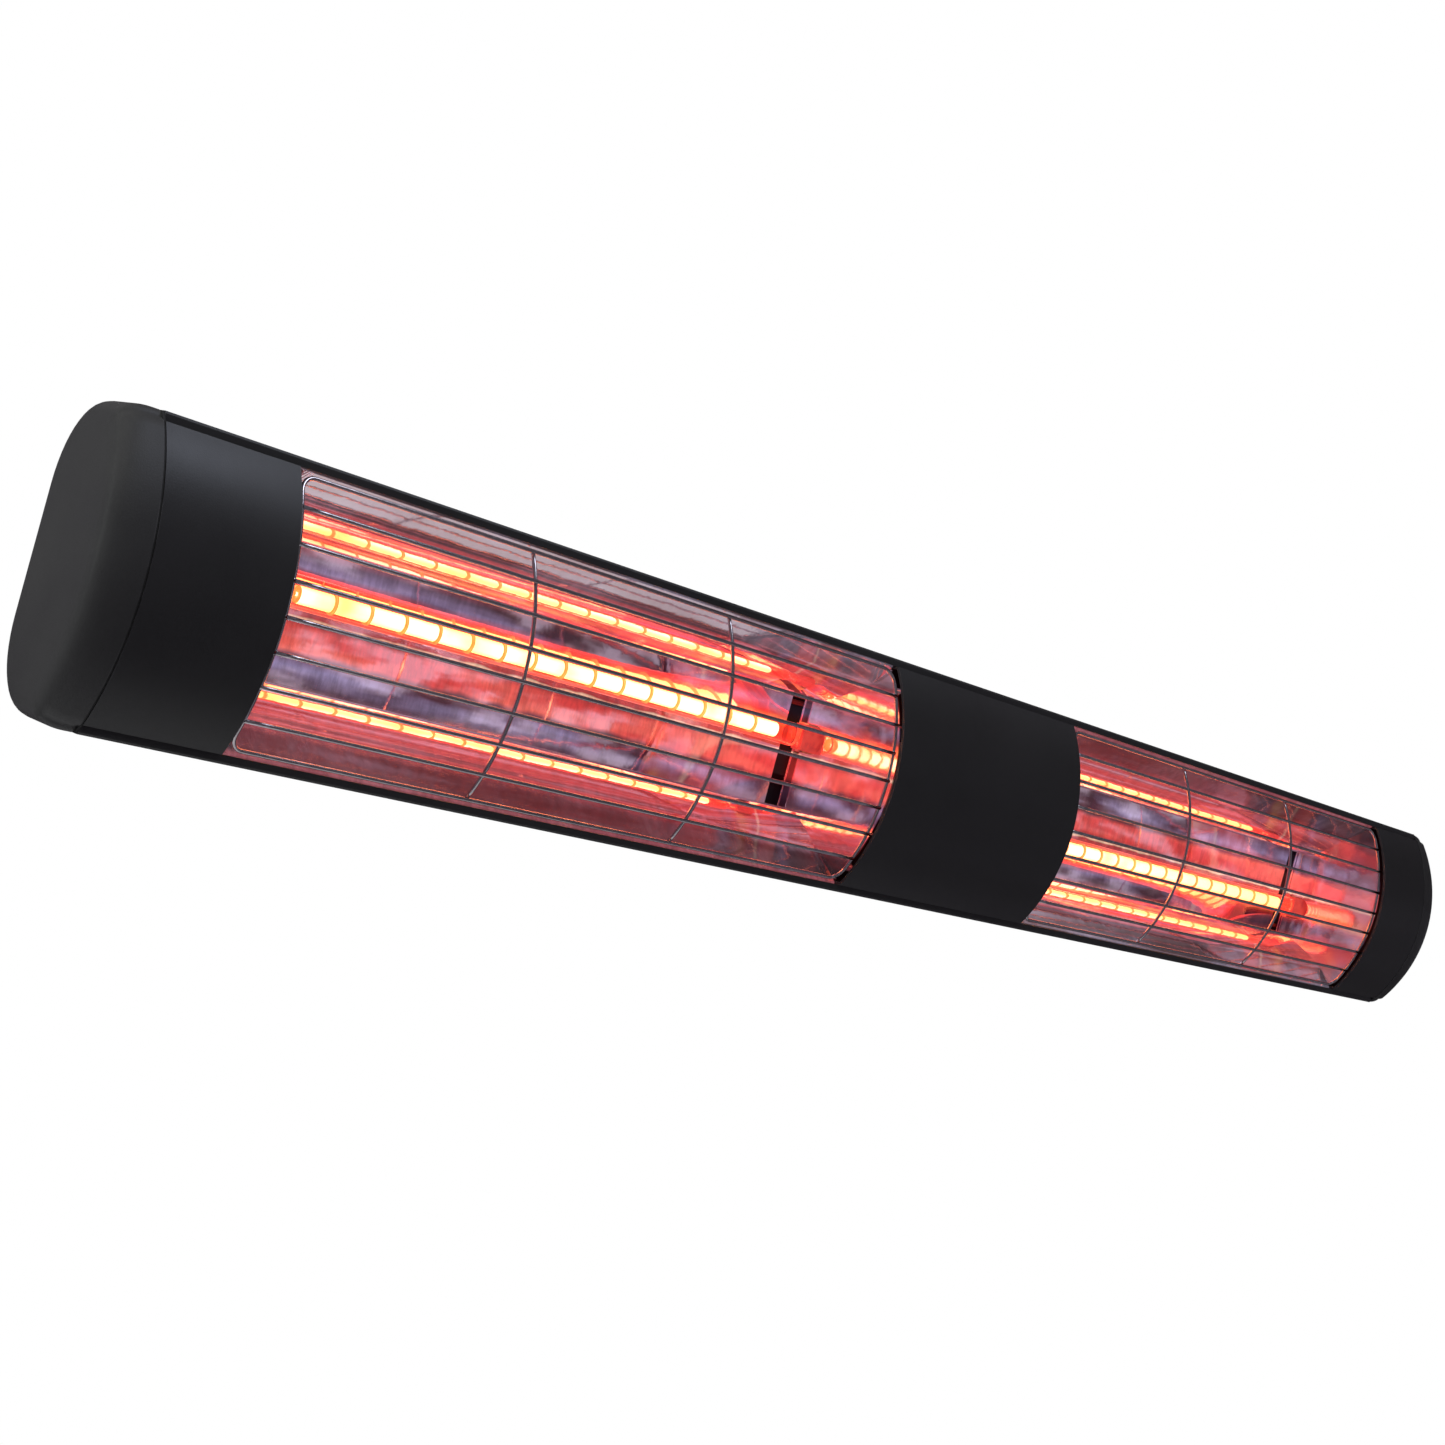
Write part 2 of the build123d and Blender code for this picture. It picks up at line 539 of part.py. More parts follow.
pivot_bolts = []
pivot_nuts = []
pivot_washers = []
t_bolts = []
t_nuts = []
for x, name in ((-BRACKET_SPACING / 2, "left"), (BRACKET_SPACING / 2, "right")):
    write("wall_bracket_" + name, wall_bracket(x))
    write("swivel_lug_" + name, swivel_lug(x))
    outer = EAR_GAP + EAR_WALL
    bolt = rod_x(x - 20, x + outer + 1.7, PIVOT_DEPTH, 0, PIVOT_PIN_RADIUS)
    pivot_bolts.append(bolt + hex_x(x + outer + 1.6, x + outer + 6.9, PIVOT_DEPTH, 0, 13.0))
    nut = hex_x(x - outer - 8.1, x - outer - 1.6, PIVOT_DEPTH, 0, 13.0)
    pivot_nuts.append(nut - rod_x(x - 30, x, PIVOT_DEPTH, 0, PIVOT_PIN_RADIUS))
    for start, wall in ((outer, 1.6), (-outer - 1.6, 1.6), (LUG_HALF + 0.05, 0.9), (-LUG_HALF - 0.95, 0.9)):
        ring = rod_x(x + start, x + start + wall, PIVOT_DEPTH, 0, 8.4)
        pivot_washers.append(ring - rod_x(x - 30, x + 30, PIVOT_DEPTH, 0, PIVOT_PIN_RADIUS))
    for side in (1, -1):
        bx = x + side * BOLT_OFFSET
        head = block(bx - 6.5, bx + 6.5, 53.2, 57.5, -6.6, 6.6)
        t_bolts.append(head + rod_y(bx, 57, BODY_DEPTH + BOLT_TIP, 0, 3.0))
        nut = hex_y(bx, BODY_DEPTH + 4, BODY_DEPTH + 9, 0, 10.0)
        t_nuts.append(nut - rod_y(bx, 60, 80, 0, 3.0))
write("pivot_bolts", Compound(pivot_bolts))
write("pivot_nuts", Compound(pivot_nuts))
write("pivot_washers", Compound(pivot_washers))
write("t_bolts", Compound(t_bolts))
write("t_bolt_nuts", Compound(t_nuts))
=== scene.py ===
import math

import bmesh
import bpy
from mathutils import Matrix, Vector


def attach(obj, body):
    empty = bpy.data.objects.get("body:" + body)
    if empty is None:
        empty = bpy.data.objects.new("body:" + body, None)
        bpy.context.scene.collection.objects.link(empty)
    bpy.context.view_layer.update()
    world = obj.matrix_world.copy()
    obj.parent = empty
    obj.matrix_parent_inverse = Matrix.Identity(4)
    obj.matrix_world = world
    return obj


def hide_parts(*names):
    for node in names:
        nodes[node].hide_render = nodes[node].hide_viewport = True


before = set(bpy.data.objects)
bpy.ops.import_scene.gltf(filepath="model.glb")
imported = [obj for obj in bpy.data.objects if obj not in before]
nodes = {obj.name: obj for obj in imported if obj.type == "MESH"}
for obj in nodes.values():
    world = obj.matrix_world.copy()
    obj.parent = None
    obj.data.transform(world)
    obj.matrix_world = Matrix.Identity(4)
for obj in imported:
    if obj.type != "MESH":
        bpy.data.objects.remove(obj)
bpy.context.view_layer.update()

# ==== Camera ==============================================================================
# It stands off the left end, level with the heater, and is rolled so that the long body
# runs downhill to the right.
CAMERA_PLACE = Vector((-0.877, -0.843, -0.0017))
CAMERA_AIM = Vector((0.6861, 0.7274, 0.0083))
CAMERA_ROLL = math.radians(15.15)
CAMERA_LENS = 49.47
CAMERA_SENSOR = 36
CAMERA_NEAR = 0.02

camera_data = bpy.data.cameras.new("camera")
camera_data.lens = CAMERA_LENS
camera_data.sensor_width = CAMERA_SENSOR
camera_data.clip_start = CAMERA_NEAR
camera = bpy.data.objects.new("camera", camera_data)
facing = CAMERA_AIM.to_track_quat("-Z", "Y").to_matrix().to_4x4()
rolled = Matrix.Rotation(CAMERA_ROLL, 4, "Z")
camera.matrix_world = Matrix.Translation(CAMERA_PLACE) @ facing @ rolled
bpy.context.scene.collection.objects.link(camera)
bpy.context.scene.camera = camera

# ==== Studio: white surround, pale floor, soft lights ======================================
# A white cove seen as plain white. What the metal mirrors is a dim mauve room with lilac
# patches. The heater hangs well clear of the pale floor.
ROOM_DIM = (0.055, 0.046, 0.050, 1)
ROOM_MAUVE = (0.155, 0.135, 0.148, 1)
ROOM_LILAC = (0.50, 0.48, 0.58, 1)
ROOM_STRENGTH = 0.62
DIM_UP_TO, MAUVE_AT, LILAC_FROM = 0.44, 0.52, 0.62
PATCH_SCALE = 6.0
PATCH_DETAIL = 2.0
FLOOR_PLACE = (0, -0.1, -1.15)
FLOOR_RADIUS = 1.0
FLOOR_SIDES = 96
FLOOR_GREY = (0.86, 0.86, 0.86, 1)
FLOOR_ROUGH = 0.7

bpy.context.scene.view_settings.view_transform = "Standard"
room = bpy.data.worlds.new("white_cove")
bpy.context.scene.world = room
room.use_nodes = True
sky = room.node_tree
sky.nodes.clear()
sky_out = sky.nodes.new("ShaderNodeOutputWorld")
sky_mix = sky.nodes.new("ShaderNodeMixShader")
sky_seen = sky.nodes.new("ShaderNodeBackground")
sky_seen.inputs["Color"].default_value = (1, 1, 1, 1)
sky_light = sky.nodes.new("ShaderNodeBackground")
sky_light.inputs["Strength"].default_value = ROOM_STRENGTH
sky_way = sky.nodes.new("ShaderNodeTexCoord")
sky_patch = sky.nodes.new("ShaderNodeTexNoise")
sky_patch.inputs["Scale"].default_value = PATCH_SCALE
sky_patch.inputs["Detail"].default_value = PATCH_DETAIL
sky_ramp = sky.nodes.new("ShaderNodeValToRGB")
sky_ramp.color_ramp.elements[0].position = DIM_UP_TO
sky_ramp.color_ramp.elements[0].color = ROOM_DIM
sky_ramp.color_ramp.elements[1].position = LILAC_FROM
sky_ramp.color_ramp.elements[1].color = ROOM_LILAC
sky_middle = sky_ramp.color_ramp.elements.new(MAUVE_AT)
sky_middle.color = ROOM_MAUVE
sky_path = sky.nodes.new("ShaderNodeLightPath")
sky.links.new(sky_way.outputs["Generated"], sky_patch.inputs["Vector"])
sky.links.new(sky_patch.outputs["Fac"], sky_ramp.inputs["Fac"])
sky.links.new(sky_ramp.outputs["Color"], sky_light.inputs["Color"])
sky.links.new(sky_path.outputs["Is Camera Ray"], sky_mix.inputs["Fac"])
sky.links.new(sky_light.outputs["Background"], sky_mix.inputs[1])
sky.links.new(sky_seen.outputs["Background"], sky_mix.inputs[2])
sky.links.new(sky_mix.outputs["Shader"], sky_out.inputs["Surface"])


def softbox(name, place, aim, size, power, colour, mirrored):
    """A soft rectangular light; mirrored says whether bright metal shows it."""
    data = bpy.data.lights.new(name, "AREA")
    data.shape = "RECTANGLE"
    data.size, data.size_y = size
    data.energy = power
    data.color = colour
    light = bpy.data.objects.new(name, data)
    light.location = place
    light.rotation_euler = (Vector(aim) - Vector(place)).to_track_quat("-Z", "Y").to_euler()
    light.visible_glossy = mirrored
    bpy.context.scene.collection.objects.link(light)


softbox("key_light", (-0.7, -1.0, 1.2), (0, -0.1, 0), (1.4, 0.9), 9, (0.97, 1.0, 0.97), False)
softbox("end_light", (-2.0, -0.1, 0.35), (-0.55, -0.1, 0), (0.7, 0.9), 30, (0.97, 1.0, 0.98), False)
softbox("top_light", (0.0, -0.58, 1.05), (-0.5, -0.12, 0.05), (0.5, 0.35), 2.6, (0.78, 0.84, 1.0), True)
softbox("back_light", (0.3, 1.6, 0.5), (0, 0, 0), (1.2, 0.8), 14, (1.0, 1.0, 1.0), False)

floor_mesh = bpy.data.meshes.new("floor")
floor_form = bmesh.new()
bmesh.ops.create_circle(floor_form, cap_ends=True, segments=FLOOR_SIDES, radius=FLOOR_RADIUS)
floor_form.to_mesh(floor_mesh)
floor_form.free()
floor = bpy.data.objects.new("floor", floor_mesh)
floor.location = FLOOR_PLACE
bpy.context.scene.collection.objects.link(floor)
floor_paint = bpy.data.materials.new("pale_floor")
floor_paint.use_nodes = True
floor_shader = floor_paint.node_tree.nodes["Principled BSDF"]
floor_shader.inputs["Base Color"].default_value = FLOOR_GREY
floor_shader.inputs["Roughness"].default_value = FLOOR_ROUGH
floor_mesh.materials.append(floor_paint)

# ==== Body shell ==========================================================================
# One long extruded trough of aluminium with a rounded back and two front rails, powder
# coated in fine-grained satin black. Everything else is fixed into it or onto its ends.
EDGE_GAIN = 7.0
DUST_GREY = (0.30, 0.28, 0.26)
DUST_DULLING = 0.4
GRAIN_BITE = 0.6


def effect(name, takes, gives):
    """An empty node group with its named inputs and outputs."""
    group = bpy.data.node_groups.new(name, "ShaderNodeTree")
    for label, kind, value in takes:
        socket = group.interface.new_socket(label, in_out="INPUT", socket_type=kind)
        socket.default_value = value
    for label, kind in gives:
        group.interface.new_socket(label, in_out="OUTPUT", socket_type=kind)
    source = group.nodes.new("NodeGroupInput")
    target = group.nodes.new("NodeGroupOutput")
    return group, source, target


def add(tree, kind, **values):
    """A new node; each value sets the input whose name, in lower case with _, is given."""
    node = tree.nodes.new("ShaderNode" + kind)
    for socket in node.inputs:
        key = socket.name.lower().replace(" ", "_")
        if key in values and socket.enabled:
            socket.default_value = values[key]
    return node


def add_math(tree, operation, first, second=0.0):
    """A Math node; first and second are numbers or the sockets that feed it."""
    node = tree.nodes.new("ShaderNodeMath")
    node.operation = operation
    for slot, value in enumerate((first, second)):
        if isinstance(value, (int, float)):
            node.inputs[slot].default_value = value
        else:
            tree.links.new(value, node.inputs[slot])
    return node.outputs[0]


def add_blend(tree, share, first, second):
    """Colour that goes from first to second with share; colours are tuples or sockets."""
    node = tree.nodes.new("ShaderNodeMix")
    node.data_type = "RGBA"
    tree.links.new(share, node.inputs[0])
    for slot, value in ((6, first), (7, second)):
        if isinstance(value, tuple):
            node.inputs[slot].default_value = (*value, 1)
        else:
            tree.links.new(value, node.inputs[slot])
    return node.outputs[2]


def place_effect(tree, group, **values):
    """The group as a node in a material, with the material's own values."""
    node = tree.nodes.new("ShaderNodeGroup")
    node.node_tree = group
    for socket in node.inputs:
        key = socket.name.lower().replace(" ", "_")
        if key in values and socket.enabled:
            socket.default_value = values[key]
    return node


# Surface grain: fine orange peel or casting grain, and broad faint patches.
grain, grain_in, grain_out = effect(
    "surface_grain",
    [("Grain Scale", "NodeSocketFloat", 1200.0), ("Patch Scale", "NodeSocketFloat", 18.0)],
    [("Height", "NodeSocketFloat"), ("Patch", "NodeSocketFloat")])
grain_place = add(grain, "TexCoord")
grain_fine = add(grain, "TexNoise", detail=3.0, roughness=0.55)
grain_cells = add(grain, "TexVoronoi")
grain_broad = add(grain, "TexNoise", detail=4.0, roughness=0.6)
for texture in (grain_fine, grain_cells, grain_broad):
    grain.links.new(grain_place.outputs["Object"], texture.inputs["Vector"])
grain.links.new(grain_in.outputs["Grain Scale"], grain_fine.inputs["Scale"])
grain.links.new(grain_in.outputs["Grain Scale"], grain_cells.inputs["Scale"])
grain.links.new(grain_in.outputs["Patch Scale"], grain_broad.inputs["Scale"])
grain_sum = add_math(grain, "MULTIPLY", grain_cells.outputs["Distance"], 0.4)
grain_sum = add_math(grain, "ADD", grain_fine.outputs["Fac"], grain_sum)
grain.links.new(grain_sum, grain_out.inputs["Height"])
grain_patch = add(grain, "MapRange", from_min=0.32, from_max=0.68)
grain.links.new(grain_broad.outputs["Fac"], grain_patch.inputs["Value"])
grain.links.new(grain_patch.outputs["Result"], grain_out.inputs["Patch"])

# Edge marks: a broken bright line along corners, partly where a corner has been rubbed and partly a painted
# highlight where light would catch the edge.
wear_and_highlight, edge_in, edge_out = effect(
    "edge_wear",
    [("Width", "NodeSocketFloat", 0.0005), ("Break Scale", "NodeSocketFloat", 60.0)],
    [("Mask", "NodeSocketFloat")])
edge_round = add(wear_and_highlight, "Bevel")
edge_round.samples = 4
wear_and_highlight.links.new(edge_in.outputs["Width"], edge_round.inputs["Radius"])
edge_flat = add(wear_and_highlight, "NewGeometry")
edge_dot = wear_and_highlight.nodes.new("ShaderNodeVectorMath")
edge_dot.operation = "DOT_PRODUCT"
wear_and_highlight.links.new(edge_round.outputs["Normal"], edge_dot.inputs[0])
wear_and_highlight.links.new(edge_flat.outputs["Normal"], edge_dot.inputs[1])
edge_amount = add_math(wear_and_highlight, "SUBTRACT", 1.0, edge_dot.outputs["Value"])
edge_amount = add_math(wear_and_highlight, "MULTIPLY", edge_amount, EDGE_GAIN)
edge_place = add(wear_and_highlight, "TexCoord")
edge_break = add(wear_and_highlight, "TexNoise", detail=5.0)
wear_and_highlight.links.new(edge_place.outputs["Object"], edge_break.inputs["Vector"])
wear_and_highlight.links.new(edge_in.outputs["Break Scale"], edge_break.inputs["Scale"])
edge_gate = add(wear_and_highlight, "MapRange", from_min=0.42, from_max=0.62)
wear_and_highlight.links.new(edge_break.outputs["Fac"], edge_gate.inputs["Value"])
wear_and_highlight_mask = add_math(wear_and_highlight, "MULTIPLY", edge_amount, edge_gate.outputs["Result"])
wear_and_highlight_mask = add_math(wear_and_highlight, "MINIMUM", wear_and_highlight_mask, 1.0)
wear_and_highlight_mask = add_math(wear_and_highlight, "MAXIMUM", wear_and_highlight_mask, 0.0)
wear_and_highlight.links.new(wear_and_highlight_mask, edge_out.inputs["Mask"])

# Settled dust: a thin broken film on whatever faces up when the heater hangs level.
dust, dust_in, dust_out = effect(
    "settled_dust",
    [("Amount", "NodeSocketFloat", 0.2), ("Speck Scale", "NodeSocketFloat", 240.0)],
    [("Mask", "NodeSocketFloat")])
dust_place = add(dust, "TexCoord")
dust_up = add(dust, "SeparateXYZ")
dust.links.new(dust_place.outputs["Normal"], dust_up.inputs["Vector"])
dust_speck = add(dust, "TexNoise", detail=6.0, roughness=0.7)
dust.links.new(dust_place.outputs["Object"], dust_speck.inputs["Vector"])
dust.links.new(dust_in.outputs["Speck Scale"], dust_speck.inputs["Scale"])
dust_face = add(dust, "MapRange", from_min=0.2, from_max=1.0)
dust.links.new(dust_up.outputs["Z"], dust_face.inputs["Value"])
dust_mask = add_math(dust, "MULTIPLY", dust_face.outputs["Result"], dust_speck.outputs["Fac"])
dust_mask = add_math(dust, "MULTIPLY", dust_mask, dust_in.outputs["Amount"])
dust.links.new(dust_mask, dust_out.inputs["Mask"])


def finish(name, colours, rough, swing, metal, grain_scale, patch_scale, height, worn_and_highlit, edge, film):
    """A finish: two close colours in patches, uneven gloss, grain, rubbed edges with a painted highlight,
    and dust.
    """
    made = bpy.data.materials.new(name)
    made.use_nodes = True
    tree = made.node_tree
    shader = tree.nodes["Principled BSDF"]
    shader.inputs["Metallic"].default_value = metal
    skin = place_effect(tree, grain, grain_scale=grain_scale, patch_scale=patch_scale)
    wear_and_highlight_node = place_effect(tree, wear_and_highlight, width=edge)
    settle = place_effect(tree, dust, amount=film)
    colour = add_blend(tree, skin.outputs["Patch"], *colours)
    # Lighter along edges: partly rubbing, partly a painted highlight.
    colour = add_blend(tree, wear_and_highlight_node.outputs["Mask"], colour, worn_and_highlit)
    colour = add_blend(tree, settle.outputs["Mask"], colour, DUST_GREY)
    tree.links.new(colour, shader.inputs["Base Color"])
    gloss = add(tree, "MapRange", to_min=rough - swing, to_max=rough + swing)
    tree.links.new(skin.outputs["Patch"], gloss.inputs["Value"])
    dulled = add_math(tree, "MULTIPLY", settle.outputs["Mask"], DUST_DULLING)
    dulled = add_math(tree, "ADD", gloss.outputs["Result"], dulled)
    tree.links.new(dulled, shader.inputs["Roughness"])
    bump = add(tree, "Bump", strength=GRAIN_BITE, distance=height)
    tree.links.new(skin.outputs["Height"], bump.inputs["Height"])
    tree.links.new(bump.outputs["Normal"], shader.inputs["Normal"])
    return made


def dress(material, *names):
    """Gives CAD pieces their finish."""
    for name in names:
        nodes[name].material_slots[0].material = material


black_coat = finish(
    "black_coat",
    colours=((0.017, 0.017, 0.018), (0.023, 0.023, 0.024)), rough=0.44, swing=0.05, metal=0.0,
    grain_scale=1500.0, patch_scale=14.0, height=0.00006,
    worn_and_highlit=(0.055, 0.055, 0.057), edge=0.0006, film=0.10)
dress(black_coat, "body_shell")

# ==== Front covers ========================================================================
# Three bowed strips of thin sheet metal, coated like the body, snapped over the front rails
# on both sides of each lamp opening. They leave the two troughs open.
cover_coat = finish(
    "cover_coat",
    colours=((0.015, 0.015, 0.016), (0.020, 0.020, 0.021)), rough=0.40, swing=0.05, metal=0.0,
    grain_scale=1700.0, patch_scale=11.0, height=0.00005,
    worn_and_highlit=(0.06, 0.06, 0.062), edge=0.0005, film=0.08)
dress(cover_coat, "cover_left", "cover_centre", "cover_right")

# ==== Reflectors ==========================================================================
# Each trough is one thin sheet of bright rolled aluminium, folded to a flat floor and two
# walls that bow in slightly. It has a slot at each lamp end. The lamp's red light on it is
# painted: a pink tint, red emission bands with painted reflections, and painted shade near the lips.
# Both sheet colours are tinted pink with painted red lamp light; the lip colour is painted shade.
MIRROR_BRIGHT = (0.95, 0.79, 0.82)
MIRROR_DULL = (0.86, 0.66, 0.70)
PAINTED_LIP_SHADE = (0.13, 0.12, 0.13)
SHEET = 0.0008
RAIL_FRONT = -0.120
MODULE_MIDDLE = -0.272
TROUGH_REACH = 0.214
WINDOW_HALF = 0.1905
SLOT_ENDS = (0.170, 0.1808)
SLOT_LOW, SLOT_HIGH = -0.0292, 0.0322
CUT_DEPTH = 0.0112
FOLD_ANGLE = math.radians(9)
WALL_STEPS = 12
PAINTED_LIGHT_STRENGTH = 0.9
END_PAINTED_LIGHT_STRENGTH = 0.35
BAND_HALF = 0.060
BAND_WANDER = 0.004
SMEAR_SQUASH = (0.2, 1.0, 1.0)
STROKE_SQUASH = (1.0, 0.3, 0.25)
RUBBED_AND_HIGHLIT = (0.95, 0.93, 0.94)
RIPPLE_BITE = 0.5
RUB_AND_HIGHLIGHT_WIDTH = 0.0003
# Where each band of painted lamp light and painted reflection lies across the sheet, its colour between the
# patches, and in a patch.
PAINTED_LIGHT_BANDS = [
    (0.000, (0.30, 0.07, 0.09), (0.34, 0.10, 0.12)), (0.020, (0.035, 0.020, 0.024), (0.07, 0.045, 0.055)),
    (0.110, (0.045, 0.012, 0.018), (0.09, 0.04, 0.055)), (0.130, (0.35, 0.03, 0.035), (0.40, 0.05, 0.05)),
    (0.165, (0.30, 0.03, 0.035), (0.34, 0.04, 0.04)), (0.235, (0.10, 0.015, 0.02), (0.16, 0.03, 0.05)),
    (0.270, (0.035, 0.008, 0.018), (0.10, 0.05, 0.09)), (0.330, (0.07, 0.012, 0.03), (0.30, 0.24, 0.44)),
    (0.375, (0.08, 0.012, 0.02), (0.14, 0.04, 0.07)), (0.395, (0.78, 0.05, 0.045), (1.0, 0.15, 0.11)),
    (0.475, (0.75, 0.045, 0.04), (0.95, 0.12, 0.09)), (0.496, (0.40, 0.03, 0.03), (0.55, 0.04, 0.04)),
    (0.502, (0.95, 0.60, 0.40), (1.0, 0.75, 0.55)), (0.512, (0.95, 0.55, 0.36), (1.0, 0.70, 0.50)),
    (0.519, (0.45, 0.03, 0.03), (0.60, 0.05, 0.04)),
    (0.545, (0.42, 0.03, 0.03), (0.55, 0.06, 0.05)), (0.575, (0.60, 0.06, 0.03), (0.70, 0.10, 0.04)),
    (0.640, (0.65, 0.10, 0.03), (0.95, 0.38, 0.10)), (0.665, (0.35, 0.02, 0.02), (0.50, 0.04, 0.04)),
    (0.700, (0.05, 0.01, 0.025), (0.28, 0.20, 0.38)), (0.740, (0.045, 0.010, 0.022), (0.16, 0.10, 0.17)),
    (0.790, (0.30, 0.025, 0.025), (0.42, 0.05, 0.05)), (0.880, (0.40, 0.04, 0.04), (0.45, 0.06, 0.05)),
    (0.905, (0.07, 0.03, 0.035), (0.12, 0.08, 0.10)), (1.000, (0.075, 0.045, 0.05), (0.16, 0.14, 0.19))]


def bowed_wall(first, middle, last):
    """Points from first to last on the circle through all three, without the first."""
    ax, az = first
    bx, bz = middle
    cx, cz = last
    area = 2 * (ax * (bz - cz) + bx * (cz - az) + cx * (az - bz))
    a, b, c = ax * ax + az * az, bx * bx + bz * bz, cx * cx + cz * cz
    ox = (a * (bz - cz) + b * (cz - az) + c * (az - bz)) / area
    oz = (a * (cx - bx) + b * (ax - cx) + c * (bx - ax)) / area
    radius = math.hypot(ax - ox, az - oz)
    start = math.atan2(az - oz, ax - ox)
    turn = math.atan2(cz - oz, cx - ox) - start
    turn = (turn + math.pi) % (2 * math.pi) - math.pi
    points = []
    for step in range(1, WALL_STEPS + 1):
        angle = start + turn * step / WALL_STEPS
        points.append((ox + radius * math.cos(angle), oz + radius * math.sin(angle)))
    return points


trough_line = [(0.0024, 0.0627), (0.0024, 0.0602), (0.011, 0.0502)]
trough_line += bowed_wall((0.011, 0.0502), (0.02375, 0.04085), (0.038, 0.034))
trough_line += [(0.0495, 0.033), (0.0495, SLOT_HIGH), (0.0495, SLOT_LOW), (0.0495, -0.030), (0.038, -0.030)]
trough_line += bowed_wall((0.038, -0.030), (0.0287, -0.0369), (0.0205, -0.045))
trough_line += [(0.011, -0.05298), (0.0024, -0.0602), (0.0024, -0.0627)]
half_ends = (SLOT_ENDS[0], SLOT_ENDS[1], WINDOW_HALF, TROUGH_REACH)
trough_ends = [-end for end in reversed(half_ends)] + list(half_ends)


def in_sheet(x0, x1, low, high):
    """Whether this panel of the trough is metal: not a slot, and not cut away beside the window."""
    middle = abs(x0 + x1) / 2
    in_slot = SLOT_ENDS[0] < middle < SLOT_ENDS[1] and low[1] == SLOT_HIGH and high[1] == SLOT_LOW
    beside = middle > WINDOW_HALF and max(low[0], high[0]) < CUT_DEPTH
    return not in_slot and not beside


def smooth_piece(name, form, sharp_past):
    """The finished form as a smooth object; edges that turn by more than sharp_past stay crisp."""
    mesh = bpy.data.meshes.new(name)
    form.to_mesh(mesh)
    form.free()
    mesh.polygons.foreach_set("use_smooth", [True] * len(mesh.polygons))
    if sharp_past is not None:
        mesh.set_sharp_from_angle(angle=sharp_past)
    piece = bpy.data.objects.new(name, mesh)
    bpy.context.scene.collection.objects.link(piece)
    return piece


def smooth_trough(name, turn):
    """The folded sheet; turn is -1 for the left trough and 1 for the right one turned over."""
    form = bmesh.new()
    made = {}
    for i in range(len(trough_ends) - 1):
        for k in range(len(trough_line) - 1):
            if not in_sheet(trough_ends[i], trough_ends[i + 1], trough_line[k], trough_line[k + 1]):
                continue
            corners = []
            for key in ((i, k), (i, k + 1), (i + 1, k + 1), (i + 1, k)):
                if key not in made:
                    x = MODULE_MIDDLE + trough_ends[key[0]]
                    depth, height = trough_line[key[1]]
                    made[key] = form.verts.new((-turn * x, RAIL_FRONT + depth, -turn * height))
                corners.append(made[key])
            form.faces.new(corners)
    sheet = smooth_piece(name, form, FOLD_ANGLE)
    thick = sheet.modifiers.new("sheet", "SOLIDIFY")
    thick.thickness = SHEET
    thick.offset = -1
    return sheet


# Painted lamp light: red emission in bands along the trough stands in for the lamp's light on
# the sheet, with painted reflections of the lamp and room, and painted shade towards the lips.
# The right trough is the left one turned over, so the bands swap top and bottom with the side.
glow, glow_in, glow_out = effect(
    "lamp_glow",
    [("Stroke Scale", "NodeSocketFloat", 260.0), ("Stroke Depth", "NodeSocketFloat", 0.5)],
    [("Colour", "NodeSocketColor"), ("Shade", "NodeSocketFloat")])
glow_place = add(glow, "TexCoord")
glow_axes = add(glow, "SeparateXYZ")
glow.links.new(glow_place.outputs["Object"], glow_axes.inputs["Vector"])
glow_side = add_math(glow, "SIGN", glow_axes.outputs["X"])
glow_high = add_math(glow, "MULTIPLY", glow_axes.outputs["Z"], glow_side)
glow_wave = add(glow, "TexNoise", scale=55.0, detail=2.0)
glow.links.new(glow_place.outputs["Object"], glow_wave.inputs["Vector"])
glow_shift = add_math(glow, "SUBTRACT", glow_wave.outputs["Fac"], 0.5)
glow_shift = add_math(glow, "MULTIPLY", glow_shift, BAND_WANDER)
glow_high = add_math(glow, "ADD", glow_high, glow_shift)
glow_range = add(glow, "MapRange", from_min=BAND_HALF, from_max=-BAND_HALF)
glow.links.new(glow_high, glow_range.inputs["Value"])
glow_ramps = []
for which in (1, 2):
    ramp = add(glow, "ValToRGB")
    ramp.color_ramp.elements[0].color = (*PAINTED_LIGHT_BANDS[0][which], 1)
    ramp.color_ramp.elements[1].color = (*PAINTED_LIGHT_BANDS[-1][which], 1)
    for band in PAINTED_LIGHT_BANDS[1:-1]:
        stop = ramp.color_ramp.elements.new(band[0])
        stop.color = (*band[which], 1)
    glow.links.new(glow_range.outputs["Result"], ramp.inputs["Fac"])
    glow_ramps.append(ramp.outputs["Color"])
glow_stretch = glow.nodes.new("ShaderNodeVectorMath")
glow_stretch.operation = "MULTIPLY"
glow_stretch.inputs[1].default_value = SMEAR_SQUASH
glow.links.new(glow_place.outputs["Object"], glow_stretch.inputs[0])
glow_smear = add(glow, "TexNoise", scale=62.0, detail=3.0)
glow.links.new(glow_stretch.outputs["Vector"], glow_smear.inputs["Vector"])
glow_share = add(glow, "MapRange", from_min=0.44, from_max=0.60)
glow.links.new(glow_smear.outputs["Fac"], glow_share.inputs["Value"])
glow_bands = add_blend(glow, glow_share.outputs["Result"], *glow_ramps)
glow_squeeze = glow.nodes.new("ShaderNodeVectorMath")
glow_squeeze.operation = "MULTIPLY"
glow_squeeze.inputs[1].default_value = STROKE_SQUASH
glow.links.new(glow_place.outputs["Object"], glow_squeeze.inputs[0])
glow_strokes = add(glow, "TexNoise", detail=4.0, roughness=0.7)
glow.links.new(glow_squeeze.outputs["Vector"], glow_strokes.inputs["Vector"])
